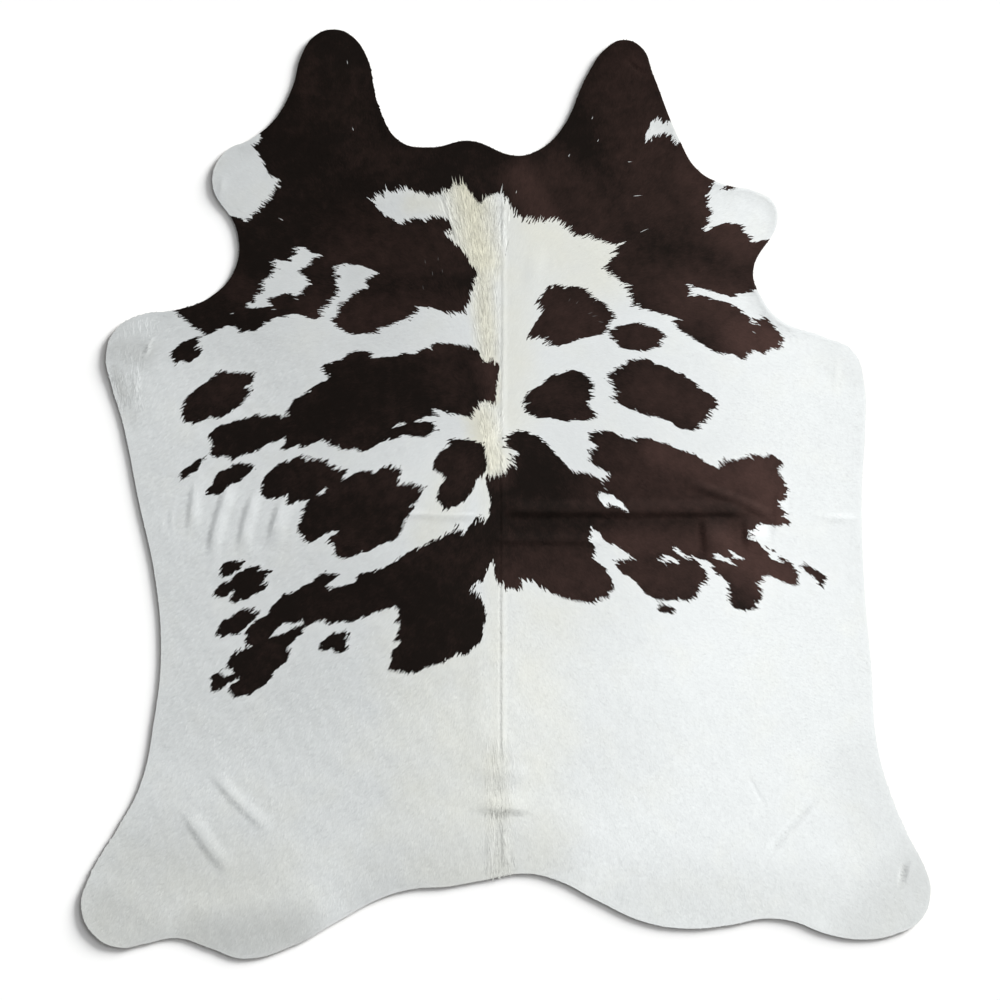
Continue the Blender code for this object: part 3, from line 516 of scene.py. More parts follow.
        (-60.9, 6.9), (-61.8, 6.6), (-62.3, 7), (-63, 7.4), (-64.5, 7), (-66, 6.9), (-66.9, 6.1),
        (-68, 5.6), (-69.3, 5), (-69.9, 4), (-70.3, 3), (-70.9, 2), (-71.7, 1.1), (-72.4, 0.2),
        (-72.2, -0.8), (-71.5, -0.7), (-71, -0.1), (-70.5, -0.5), (-69.3, -0.6), (-68.4, 0),
        (-68, 0.7), (-67, 1.4), (-66, 1.9), (-65, 2.4), (-63.8, 3.2), (-62.5, 4.3), (-61.5, 5.2),
        (-61.1, 6),
    ),
    "left_belly_upper": (
        (-62.9, -16.1), (-64, -16.5), (-65, -16.3), (-65.5, -15.8), (-66.5, -16.2), (-67.8, -16.7),
        (-68.7, -17.5), (-68.9, -18.8), (-69.2, -19.8), (-68, -20.3), (-67, -20.1), (-66.3, -19.6),
        (-65.3, -19), (-64.2, -18.3), (-63.5, -17.3),
    ),
    "left_belly_middle": (
        (-57, -18.6), (-58, -18.2), (-59, -18.2), (-59.5, -17.6), (-60.7, -17.6), (-61.8, -17.4),
        (-62.8, -18.2), (-63.8, -18.8), (-65, -19.2), (-65.8, -19.8), (-66.2, -20.8),
        (-66.3, -21.7), (-67.1, -21.4), (-67.7, -21.1), (-68.4, -21.3), (-69.2, -22), (-70, -23),
        (-70.5, -24.2), (-70.4, -25), (-69.2, -25.2), (-68, -25.1), (-67.3, -24.5), (-66.7, -23.9),
        (-66, -23.7), (-66.2, -24.6), (-66.7, -25.3), (-66.3, -26.5), (-65.3, -26.5),
        (-64.3, -25.8), (-62.7, -25.7), (-62, -25.2), (-61.2, -24.4), (-60, -24.1), (-58.7, -23.5),
        (-57.7, -22.8), (-56.9, -21.9), (-57.3, -21.5), (-58.6, -21.7), (-58.5, -21),
        (-57.8, -20.3), (-57.4, -19.4),
    ),
    "left_belly_lower": (
        (-59.5, -28.9), (-60.5, -28.5), (-61.3, -27.8), (-62, -27.5), (-63.3, -28), (-64.5, -28.5),
        (-65.5, -29.2), (-66.7, -30), (-68, -30.4), (-68.8, -31.2), (-69.3, -32.4), (-70, -33.7),
        (-69.8, -34.3), (-68.8, -34.8), (-67.5, -34.3), (-66, -34.1), (-64.8, -33.9),
        (-63.7, -33.2), (-62.8, -32.4), (-61.8, -31.3), (-60.8, -30.4),
    ),
    "left_thigh": (
        (-38.8, -32.9), (-39.7, -33.4), (-41, -33.8), (-42.5, -34), (-43.7, -34.8), (-44.7, -35.8),
        (-45.5, -36.8), (-45, -37.6), (-43.5, -37.7), (-42.3, -37.6), (-41.3, -38.2), (-40, -38.4),
        (-38.9, -38.1), (-38.2, -37.2), (-37.5, -36.4), (-38.5, -36.3), (-38.1, -35.6),
        (-38.3, -34.3),
    ),
    "back_comma": (
        (-4.8, 11.2), (-5.3, 12.2), (-6.2, 12.1), (-6.9, 12.6), (-7.6, 12.3), (-8.5, 12.8),
        (-10, 12.9), (-12, 12.9), (-13.3, 13.2), (-14.4, 13), (-14.6, 12.2), (-14.3, 11.3),
        (-15, 10.6), (-16.3, 9.9), (-17, 9), (-17.4, 8), (-17.8, 6.7), (-17.9, 5.5), (-17, 5.4),
        (-16.3, 4.5), (-15.3, 4.2), (-15.5, 3.5), (-14.2, 3), (-15.2, 2.6), (-16, 1.8),
        (-16.4, 0.7), (-16.8, -0.3), (-17, -1.3), (-16.8, -2.2), (-15.9, -2.4), (-16.3, -3.1),
        (-16.4, -3.9), (-15.5, -4.2), (-14, -4.2), (-12.3, -3.6), (-11.2, -2.8), (-10.2, -2.2),
        (-9.4, -1.2), (-8.5, -0.3), (-7.9, 0.8), (-7.5, 2), (-7, 3.1), (-6, 3.4), (-5.5, 4.2),
        (-5, 5.3), (-4.3, 6.3), (-4.4, 7.4), (-4.9, 9.3),
    ),
    "right_withers": (
        (5.4, 38.7), (6.2, 39.7), (7, 41), (8, 42.5), (8.9, 43.5), (8.3, 44), (9, 44.6),
        (8.1, 45.2), (8.7, 45.7), (7.1, 46.1), (8.2, 46.8), (8.9, 47.4), (8.4, 48), (9.5, 48.8),
        (10.2, 49.5), (10.2, 50.2), (11.2, 50.5), (12.5, 50.6), (13.7, 50.2), (15, 49.9),
        (17, 49.9), (18.7, 49.7), (20, 49.2), (20.7, 48.4), (21.3, 47.4), (22.3, 46.6), (23.6, 46),
        (24.8, 45.3), (25.3, 44.3), (26, 43.8), (26.9, 42.2), (26, 41.7), (25.2, 41), (25, 40),
        (24.2, 39.2), (23.8, 38.3), (22.5, 38.2), (21, 37.9), (19.5, 37.5), (18, 37.1), (17, 36.9),
        (15.8, 36.3), (14.8, 35.9), (13, 35.7), (11.3, 35.9), (10.4, 36.6), (9.7, 37.3), (8, 37.6),
        (6.5, 37.7), (5.5, 38.1),
    ),
    "right_back": (
        (4.4, 22.3), (4.9, 23.8), (6, 24.7), (7.3, 25.6), (9, 26.4), (9.8, 27.5), (11, 28.5),
        (12, 29.1), (13.3, 28.9), (14.5, 29.2), (15.8, 29.8), (17, 29.7), (18.4, 29.2),
        (19.5, 28.3), (20.7, 27.8), (21.2, 26.5), (21.5, 25.3), (21.2, 24), (21.1, 23),
        (20.3, 22.5), (20.3, 21.2), (21.2, 20.3), (21.8, 19.6), (22.5, 18.8), (22, 18.1),
        (20.7, 17.7), (19, 17.6), (17, 17.6), (15, 17.3), (13.8, 17.6), (12, 18.1), (10, 18.3),
        (8.3, 18.3), (7.1, 18.4), (7.6, 18.9), (5.2, 19.1), (6, 19.7), (4.9, 20.3), (5.6, 20.7),
        (4.5, 21.2), (5.2, 21.7),
    ),
    "right_shoulder_oval": (
        (25.1, 37.4), (26, 37), (26.8, 36.5), (26.9, 35.8), (27.6, 35), (28.7, 34.8), (30, 34.4),
        (32, 34.2), (34.3, 34.2), (35, 34.7), (36.5, 35), (37.7, 35.4), (37.9, 36.2), (38.2, 37),
        (38.7, 37.9), (38, 38.6), (37.2, 39.3), (36, 39.9), (35, 40.2), (34, 40.4), (33, 41.1),
        (31.5, 41), (30, 41), (29, 40.6), (27.5, 40.5), (26.6, 39.8), (25.5, 39.1), (25.4, 38.3),
    ),
    "right_ribs": (
        (24.4, 28.3), (25.7, 29), (26.3, 29.8), (27.5, 30.4), (28.7, 31), (30, 31.7), (31.5, 31.9),
        (33, 32.2), (34.5, 32.2), (35.7, 31.9), (35.9, 31.2), (37, 30.8), (38.2, 30.6), (39.5, 30),
        (40.8, 29.6), (41, 28.9), (41.8, 28.9), (42.4, 29.2), (43.2, 28.6), (43.7, 27.8),
        (44.6, 27.2), (45.6, 26.8), (45.9, 26.1), (46.7, 26), (46.8, 25.3), (48, 24.6),
        (49.3, 23.8), (50.2, 23), (50.9, 22.4), (51, 21.7), (51.3, 20.9), (51.2, 20.2), (50, 20.3),
        (49.8, 19.2), (49.3, 18.3), (48.9, 17.5), (48.2, 17), (47.3, 16.8), (46.8, 16.4),
        (47.4, 15.6), (47, 15.1), (46.2, 15.5), (45.6, 15.5), (45.3, 15), (44.3, 15.1), (43, 15.3),
        (42, 15.1), (41.3, 15.7), (40.5, 16.6), (39.3, 17.2), (38, 17.7), (36.7, 18.2), (35, 18.2),
        (33.7, 18.7), (32.3, 19.3), (31, 20), (29.5, 20.5), (28.3, 21), (27.1, 21.8), (26.4, 22.5),
        (25.9, 23), (27, 23.6), (26.4, 24.1), (26.9, 24.7), (25.7, 25.3), (26.1, 25.8), (25, 26.1),
        (25.9, 26.5), (24.6, 26.7), (25.6, 27.2), (25.2, 27.7),
    ),
    "right_belly_speck": (
        (36.7, -26.5), (37.5, -26.5), (38.5, -26.7), (39.5, -26.8), (40.5, -27.3), (41.3, -28),
        (40.8, -28.7), (39.8, -28.9), (38.8, -28.5), (37.9, -29), (36.8, -28.7), (36.2, -28.1),
        (37, -27.5),
    ),
    "right_flank_speck": (
        (62.9, -13.1), (63.7, -13.4), (64.5, -13.2), (65.1, -14), (64.5, -14.5), (63.6, -14.2),
    ),
    "right_flank_dash": (
        (71.2, -17.8), (71.6, -16.7), (72.2, -17), (73, -17.4), (74, -18), (75.2, -18.7),
        (76.3, -19.3), (77.1, -20), (77.1, -21), (76.5, -21.9), (76.5, -23.1), (75.6, -22.3),
        (74.8, -21.4), (74.6, -20.6), (73.7, -20), (72.6, -19), (71.6, -18.4),
    ),
}

WHITE_ISLANDS = {
    "left_neck": (
        (-62.9, 45.5), (-61.5, 46.1), (-60.5, 46.8), (-59.8, 47.6), (-59.3, 48.1), (-59.2, 49),
        (-58.7, 50), (-58.7, 51), (-58, 51.5), (-57, 52), (-56.5, 53), (-55.8, 53.8),
        (-55.2, 54.2), (-56.2, 54.8), (-56.3, 55.6), (-55.5, 56.5), (-54.7, 56.2), (-53.5, 56),
        (-52.5, 56), (-52, 56.8), (-51, 57.8), (-50.3, 58.8), (-49.7, 59.4), (-48.5, 59),
        (-47.6, 58.5), (-47, 57.9), (-46, 57.8), (-45, 58.1), (-44.6, 57.6), (-45.3, 57),
        (-46.5, 56.8), (-47, 56.5), (-47.2, 55.8), (-47.8, 55.2), (-48.5, 54.5), (-49.5, 54.3),
        (-50, 53.7), (-50.3, 53), (-49.7, 52.7), (-48.9, 52.4), (-48, 52), (-47.9, 51),
        (-47.2, 50.6), (-48.2, 50), (-49, 49.2), (-49.5, 48.2), (-50, 47.9), (-50.5, 48.2),
        (-51, 47.5), (-49.7, 46.7), (-51.6, 47.8), (-51.7, 48.4), (-53, 48.2), (-54.5, 48),
        (-56, 47.4), (-57.4, 47), (-57.9, 46.5), (-57.3, 46), (-57.1, 45), (-58, 45),
        (-59.5, 44.7), (-61, 44.4), (-61.8, 44.7), (-62.2, 45.3),
    ),
    "right_cheek_notch": (
        (42.5, 89.3), (39.6, 89.5), (37.8, 89.6), (37.3, 90.2), (36.3, 90.4), (35.2, 90.1),
        (34.8, 89.4), (34.7, 88.3), (34, 87.4), (33.3, 86.8), (33.6, 86), (34, 85.3), (34.8, 85.3),
        (35.3, 86.1), (36, 86.6), (37.1, 86.6), (38.3, 86.9), (39.6, 86.7), (40.1, 86.3),
        (39.8, 85.6), (40.1, 85), (41.2, 84.8), (42.6, 84.5), (44, 87),
    ),
    "left_flank_hole": (
        (-45.3, -0.6), (-44.9, 0.4), (-43.9, 1.3), (-43.4, 0.9), (-44, 0.1), (-44.9, -0.5),
    ),
    "left_shoulder_sliver": (
        (-27.1, 16.4), (-26.2, 16.8), (-24.7, 16.9), (-25.3, 16.2), (-26.4, 16),
    ),
    "right_belly_gap": (
        (22.1, -0.7), (22.7, -0.1), (23.7, 0.1), (24.3, -0.2), (24.9, -0.8), (26, -1), (27, -1.5),
        (28, -2.2), (28.8, -3), (29.4, -4), (29.9, -5.1), (29, -4.6), (28.2, -4), (27.2, -3.5),
        (26, -3.1), (25, -2.9), (24.3, -3.4), (23.6, -3.1), (23.1, -2.3), (22.6, -1.5),
    ),
    "right_belly_slit_1": (
        (36.6, -15.9), (37.6, -15.3), (38.5, -15.6), (39, -15.2), (40.1, -15.2), (41.1, -15.8),
        (41.9, -17), (41, -16.7), (39.8, -16.8), (38.8, -16.2), (37.8, -16.5),
    ),
    "right_belly_slit_2": (
        (41, -12.7), (41.9, -13.3), (42.8, -14.4), (43.5, -15), (44.4, -14.9), (44.9, -15.4),
        (43.7, -15.9), (42.7, -15.4), (41.8, -14.5), (41.1, -13.7),
    ),
    "right_belly_slit_3": (
        (50.1, -14.7), (51, -14.3), (52, -14.8), (53, -15.4), (54.3, -16.1), (55.1, -17.1),
        (54, -16.8), (52.7, -16.3), (51.5, -15.9), (50.4, -15.5),
    ),
    "right_belly_slit_4": (
        (54.1, -13.8), (55, -14.1), (56, -14.8), (57.2, -15.6), (55.7, -15.9), (55, -15.3),
        (54.5, -14.5),
    ),
}

# Places where the colour of the hair drifts: a soft stroke from (x0, y0) to (x1, y1), in metres,
# its reach to each side and how much of the other colour it holds.
Tint = namedtuple("Tint", "x0 y0 x1 y1 reach amount")
CREAM_PLACES = {
    "nape": Tint(-0.095, 0.740, -0.060, 0.560, 0.090, 1.00),
    "withers": Tint(-0.060, 0.560, -0.035, 0.230, 0.050, 0.80),
    "right_neck": Tint(0.080, 0.620, 0.200, 0.560, 0.200, 0.42),
    "right_withers": Tint(0.015, 0.520, 0.015, 0.200, 0.110, 0.35),
    "whorl": Tint(-0.060, 0.185, -0.030, 0.075, 0.070, 0.85),
    "back": Tint(-0.030, 0.060, -0.020, -0.640, 0.060, 0.30),
    "rump": Tint(-0.130, -0.450, -0.100, -0.850, 0.300, 0.28),
    "right_rump": Tint(0.080, -0.300, 0.060, -0.850, 0.160, 0.25),
    "left_hind": Tint(-0.930, -1.000, -0.600, -0.930, 0.240, 0.22),
    "tail": Tint(-0.030, -0.640, -0.010, -0.920, 0.085, 0.40),
    "left_neck": Tint(-0.220, 0.700, -0.120, 0.690, 0.050, 0.40),
    "left_loin": Tint(-0.180, -0.100, -0.130, 0.020, 0.080, 0.36),
}
BROWN_PLACES = {
    "left_neck": Tint(-0.380, 0.590, -0.160, 0.580, 0.140, 0.28),
    "left_nape": Tint(-0.300, 0.800, -0.180, 0.830, 0.070, 0.14),
    "left_cheek": Tint(-0.380, 1.000, -0.360, 0.850, 0.110, 0.10),
    "left_cheek_tip": Tint(-0.480, 1.060, -0.470, 0.990, 0.050, 0.12),
    "left_shoulder": Tint(-0.440, 0.420, -0.120, 0.410, 0.140, 0.34),
    "left_shoulder_spot": Tint(-0.760, 0.260, -0.640, 0.260, 0.100, 0.20),
    "left_band": Tint(-0.160, 0.300, -0.080, 0.200, 0.100, 0.14),
    "left_saddle": Tint(-0.420, 0.060, -0.120, 0.040, 0.140, 0.16),
    "left_saddle_low": Tint(-0.400, -0.110, -0.120, -0.140, 0.100, 0.12),
    "right_nape": Tint(0.040, 0.760, 0.100, 0.650, 0.080, 0.60),
    "right_neck": Tint(0.120, 0.760, 0.220, 0.650, 0.120, 0.34),
    "right_cheek": Tint(0.300, 1.020, 0.360, 0.700, 0.180, 0.32),
    "right_cheek_low": Tint(0.460, 0.760, 0.570, 0.620, 0.140, 0.56),
    "right_shoulder": Tint(0.280, 0.560, 0.440, 0.440, 0.160, 0.24),
    "right_foreleg": Tint(0.580, 0.380, 0.680, 0.350, 0.120, 0.98),
    "right_foreleg_top": Tint(0.450, 0.470, 0.600, 0.440, 0.150, 0.56),
    "right_withers": Tint(0.080, 0.430, 0.340, 0.370, 0.150, 0.38),
    "right_ribs": Tint(0.340, 0.240, 0.520, 0.220, 0.150, 0.40),
    "right_saddle": Tint(0.300, 0.040, 0.580, 0.030, 0.200, 0.40),
    "right_saddle_top": Tint(0.360, 0.100, 0.540, 0.030, 0.080, 0.74),
    "right_flank": Tint(0.610, 0.040, 0.670, -0.060, 0.150, 0.88),
    "right_belly": Tint(0.020, -0.210, 0.480, -0.200, 0.150, 0.42),
    "right_belly_end": Tint(0.540, -0.130, 0.680, -0.220, 0.120, 0.90),
    "shoulder_band_end": Tint(-0.040, 0.310, -0.020, 0.220, 0.060, 0.50),
    "right_back": Tint(0.080, 0.260, 0.170, 0.180, 0.110, 0.22),
    "right_saddle_low": Tint(0.260, -0.125, 0.500, -0.120, 0.080, 0.62),
    "whorl": Tint(-0.010, 0.100, -0.010, 0.040, 0.050, 0.35),
    "left_shoulder_mid": Tint(-0.640, 0.490, -0.560, 0.470, 0.070, 0.20),
    "left_band_top": Tint(-0.240, 0.400, -0.160, 0.400, 0.080, 0.44),
}
# Greyer hair, partly real dirt and partly painted shade. left_shoulder_rim, left_shoulder_hollow
# and left_shoulder_streak are painted shade of the shoulder's undulations. left_loin is a painted
# shadow band beside the backbone. The hind legs, hocks and croup are darker towards the bottom
# edge, partly as painted shade.
DIRT_AND_SHADE_PLACES = {
    "right_loin": Tint(0.200, -0.300, 0.220, -0.620, 0.260, 0.14),
    "croup": Tint(-0.300, -0.930, 0.080, -0.900, 0.200, 0.40),
    "right_hind": Tint(0.300, -0.980, 0.820, -1.000, 0.160, 0.26),
    "left_hind": Tint(-0.740, -1.070, -0.520, -1.050, 0.140, 0.70),
    "left_hind_tip": Tint(-0.960, -1.010, -0.870, -1.060, 0.160, 0.50),
    "left_hock": Tint(-0.880, -0.860, -0.600, -0.960, 0.240, 0.32),
    "left_rump": Tint(-0.600, -0.500, -0.350, -0.850, 0.420, 0.16),
    "left_loin": Tint(-0.085, -0.430, -0.085, -0.680, 0.030, 0.14),
    "right_hind_tip": Tint(0.990, -0.930, 0.860, -1.050, 0.180, 0.46),
    "right_hock": Tint(0.955, -0.895, 0.948, -0.945, 0.022, 0.60),
    "left_shoulder_rim": Tint(-0.940, 0.400, -0.900, 0.200, 0.070, 0.20),
    "left_shoulder_hollow": Tint(-0.935, 0.345, -0.875, 0.335, 0.055, 0.40),
    "left_shoulder_streak": Tint(-0.940, 0.300, -0.915, 0.235, 0.022, 0.42),
    "right_shoulder_rim": Tint(0.780, 0.330, 0.845, 0.290, 0.060, 0.12),
    "right_thigh": Tint(0.840, -0.660, 0.920, -0.860, 0.130, 0.18),
    "croup_edge": Tint(0.140, -0.980, 0.300, -1.000, 0.090, 0.24),
    "tail": Tint(-0.070, -0.640, 0.020, -0.760, 0.110, 0.17),
}
# Where the rim is turned up less, and how much less.
FLAT_RIM = {"right_flank": Tint(0.860, 0.560, 0.940, -0.880, 0.250, 0.80)}

WHITE_HAIR = (0.672, 0.695, 0.70, 1.0)
CREAM_HAIR = (0.66, 0.645, 0.53, 1.0)
# The grey of dirty hair, also used as painted shade.
DIRT_AND_SHADE_GREY = (0.42, 0.43, 0.42, 1.0)
BLACK_HAIR = (0.0078, 0.0052, 0.0041, 1.0)
BROWN_HAIR = (0.053, 0.0288, 0.0244, 1.0)
RAW_LEATHER = ((0.36, 0.31, 0.25, 1.0), (0.55, 0.50, 0.43, 1.0))
SUEDE_CLOUDS = ((0.50, 0.45, 0.38, 1.0), (0.68, 0.64, 0.57, 1.0))
SUEDE_NAP = (0.42, 0.37, 0.31, 1.0)
DARK_ROOTS = (0.27, 0.26, 0.26, 1.0)


def edge_line():
    """The cut edge as a closed line of points, counter-clockwise seen from above."""
    rows = [row for stretch in HIDE_EDGE.values() for row in stretch]
    curve = bpy.data.curves.new("hide edge", "CURVE")
    curve.dimensions = "2D"
    curve.fill_mode = "NONE"
    curve.resolution_u = EDGE_STEPS
    spline = curve.splines.new("BEZIER")
    spline.use_cyclic_u = True
    spline.bezier_points.add(len(rows) - 1)
    for point, (x, y) in zip(spline.bezier_points, rows):
        point.co = (x, y, 0.0)
        point.handle_left_type = "AUTO"
        point.handle_right_type = "AUTO"
    guide = bpy.data.objects.new("hide edge", curve)
    bpy.context.scene.collection.objects.link(guide)
    depsgraph = bpy.context.evaluated_depsgraph_get()
    mesh = bpy.data.meshes.new_from_object(guide.evaluated_get(depsgraph))
    points = np.array([vertex.co[:2] for vertex in mesh.vertices])[::-1]
    bpy.data.meshes.remove(mesh)
    bpy.data.objects.remove(guide)
    bpy.data.curves.remove(curve)
    return points


def sides(loop):
    return zip(loop, np.roll(loop, -1, axis=0))


def left_of(ways):
    return np.stack((-ways[:, 1], ways[:, 0]), axis=1)


def inside(points, loop):
    """True for each point that a closed line goes round."""
    order = np.argsort(points[:, 1])
    x, y = points[order].T
    crossed = np.zeros(len(points), bool)
    for a, b in sides(loop):
        if a[1] != b[1]:
            first, last = np.searchsorted(y, sorted((a[1], b[1])))
            cut = a[0] + (b[0] - a[0]) * (y[first:last] - a[1]) / (b[1] - a[1])
            crossed[first:last] ^= cut > x[first:last]
    result = np.empty_like(crossed)
    result[order] = crossed
    return result


def nearest(points, loop, reach):
    """Each point's distance from a closed line, up to the reach, and the way towards it."""
    order = np.argsort(points[:, 1])
    placed = points[order]
    gap = np.full(len(points), reach)
    towards = np.zeros_like(points)
    for a, b in sides(loop):
        low, high = min(a[1], b[1]) - reach, max(a[1], b[1]) + reach
        first, last = np.searchsorted(placed[:, 1], (low, high))
        run = b - a
        share = np.clip((placed[first:last] - a) @ run / (run @ run), 0.0, 1.0)
        way = a + share[:, None] * run - placed[first:last]
        length = np.maximum(np.hypot(*way.T), 1e-9)
        closer = np.flatnonzero(length < gap[first:last])
        gap[first + closer] = length[closer]
        towards[first + closer] = way[closer] / length[closer, None]
    back = np.argsort(order)
    return gap[back], towards[back]


def bump(offset, reach):
    """A soft section: 1 in the middle, 0 from reach outwards, with no corner."""
    return np.maximum(0.0, 1.0 - (offset / reach) ** 2) ** 2


def fold_rise(fold, points):
    start = np.array((fold.x0, fold.y0))
    run = np.array((fold.x1, fold.y1)) - start
    length = np.hypot(*run)
    along, left = run / length, np.array((-run[1], run[0])) / length
    distance = (points - start) @ along
    share = distance / length
    offset = (points - start) @ left - fold.bow * 4.0 * share * (1.0 - share)
    offset = offset / fold.half_width - fold.lean
    reach = np.where(offset > 0.0, 1.0 - fold.lean, 1.0 + fold.lean)
    taper = min(FOLD_TAPER, length / 2)
    end_share = np.clip(np.minimum(distance, length - distance) / taper, 0.0, 1.0)
    return fold.height * bump(offset, reach) * (1.0 - bump(end_share, 1.0))


def folds_rise(points):
    """Height of the folds; crests that meet are merged, and grooves are cut into them."""
    each = [fold_rise(fold, points) for fold in FOLDS.values()]
    ridges = np.sqrt(sum(np.maximum(rise, 0.0) ** 2 for rise in each))
    return ridges + sum(np.minimum(rise, 0.0) for rise in each)


def rise(points, gap):
    """Height of the flesh side above the floor: folds, curled tips and the turned-up rim. The
    gap is each point's distance from the cut edge."""
    curls = sum(
        curl.height * bump(np.hypot(points[:, 0] - curl.x, points[:, 1] - curl.y), curl.reach)
        for curl in CURLS.values()
    )
    rim = RIM_RISE * (1.0 - tint_at(points, FLAT_RIM))
    return folds_rise(points) + curls + rim * np.clip(1.0 - gap / RIM_BAND, 0.0, 1.0) ** 2


def top_height(points, gap, thickness=LEATHER_AND_WOOL):
    """Height of the top of the undercoat above the floor."""
    rounding = np.clip(1.0 - gap / EDGE_ROUNDING, 0.0, 1.0) ** 2
    return rise(points, gap) + thickness - (thickness - LEATHER) * rounding


def dark_at(points):
    """True for each point that lies in a dark spot of the coat."""
    dark = np.zeros(len(points), bool)
    for loop in DARK_LOOPS:
        dark |= inside(points, loop)
    for loop in WHITE_LOOPS:
        dark &= ~inside(points, loop)
    return dark


def tint_at(points, places):
    """How much of a tint each point has."""
    total = np.zeros(len(points))
    for place in places.values():
        start = np.array((place.x0, place.y0))
        run = np.array((place.x1, place.y1)) - start
        share = np.clip((points - start) @ run / (run @ run), 0.0, 1.0)
        away = np.hypot(*(points - start - share[:, None] * run).T)
        total = np.maximum(total, place.amount * bump(away, place.reach))
    return total


def field(spacing, random=None):
    """Staggered rows of points over the hide, in line or scattered at random."""
    low, high = EDGE.min(0) - spacing, EDGE.max(0) + spacing
    columns = np.arange(low[0], high[0], spacing)
    rows = np.arange(low[1], high[1], spacing * math.sqrt(3) / 2)
    x, y = np.meshgrid(columns, rows)
    x[::2] += spacing / 2
    points = np.stack((x.ravel(), y.ravel()), axis=1)
    if random is not None:
        points += random.uniform(-SCATTER, SCATTER, points.shape) * spacing
    return points[inside(points, EDGE)]


def row_inside(distance):
    """The cut edge moved inwards."""
    run = np.roll(EDGE, -1, axis=0) - np.roll(EDGE, 1, axis=0)
    return EDGE + distance * left_of(run) / np.hypot(*run.T)[:, None]


def net(spacing, row_distances):
    """A flat net of triangles inside the cut edge, closer over the folds, with rows of points
    that follow the edge."""
    wide, close = field(spacing), field(spacing / 2)
    points = np.concatenate((
        wide[np.abs(folds_rise(wide)) <= LEVEL_GROUND],
        close[np.abs(folds_rise(close)) > LEVEL_GROUND],
    ))
    rows = [row_inside(distance) for distance in row_distances]
    gap, _ = nearest(points, EDGE, RIM_BAND)
    clear = spacing + max(np.hypot(*(row - EDGE).T).max() for row in rows)
    points = np.concatenate((EDGE, *rows, points[gap > clear * ROW_CLEARANCE]))
    loop = [list(range(len(EDGE)))]
    flat, _, faces, *_ = delaunay_2d_cdt([Vector(p) for p in points], [], loop, 1, 1e-6)
    return np.array([point[:] for point in flat]), faces


def set_attribute(mesh, name, values):
    kind, key = ("FLOAT_VECTOR", "vector") if values.ndim == 2 else ("FLOAT", "value")
    layer = mesh.attributes.new(name, kind, "POINT")
    layer.data.foreach_set(key, values.astype(np.float32).ravel())


def set_layout(mesh, name, places):
    """The flat place of each face's corners in a picture of the surface."""
    layer = mesh.uv_layers.new(name=name)
    layer.data.foreach_set("uv", places.astype(np.float32).ravel())


def tint_attributes(mesh, points):
    tints = {"cream": CREAM_PLACES, "brown": BROWN_PLACES, "dirt_and_shade": DIRT_AND_SHADE_PLACES}
    for name, places in tints.items():
        set_attribute(mesh, name, tint_at(points, places))


def hide_mesh():
    """The closed sheet: the haired top, the flesh side below, and the cut edge between them."""
    top, top_faces = net(TOP_SPACING, TOP_ROWS)
    back, back_faces = net(BACK_SPACING, BACK_ROWS)
    top_z = top_height(top, nearest(top, EDGE, RIM_BAND)[0], LEATHER_AND_WOOL - WOOL_SINK)
    back_z = np.maximum(rise(back, nearest(back, EDGE, RIM_BAND)[0]), 0.0)
    flat = np.concatenate((top, back))
    vertices = np.column_stack((flat, np.concatenate((top_z, back_z))))
    step = len(top)
    faces = list(top_faces)
    faces += [[step + corner for corner in reversed(face)] for face in back_faces]
    ring = list(range(len(EDGE)))
    faces += [(step + a, step + b, b, a) for a, b in zip(ring, ring[1:] + ring[:1])]
    mesh = bpy.data.meshes.new("hide_skin")
    mesh.from_pydata(vertices.tolist(), [], faces)
    finish = [WOOL] * len(top_faces) + [SUEDE] * len(back_faces) + [RAW_EDGE] * len(ring)
    mesh.polygons.foreach_set("material_index", finish)
    spot_gap = np.min([nearest(flat, loop, SPOT_REACH)[0] for loop in SPOT_LOOPS], axis=0)
    set_attribute(mesh, "spot_gap", np.where(dark_at(flat), spot_gap, -spot_gap))
    tint_attributes(mesh, flat)
    low, high = EDGE.min(0), EDGE.max(0)
    corner_vertex = np.empty(len(mesh.loops), np.int32)
    mesh.loops.foreach_get("vertex_index", corner_vertex)
    share = (vertices[corner_vertex, :2] - low) / (high - low)
    corner_finish = np.repeat(finish, [polygon.loop_total for polygon in mesh.polygons])
    bake = np.where((corner_finish == SUEDE)[:, None], BAKE_BACK, BAKE_TOP)
    set_layout(mesh, "OFBake", bake[:, :2] + bake[:, 2:] * share)
    return mesh


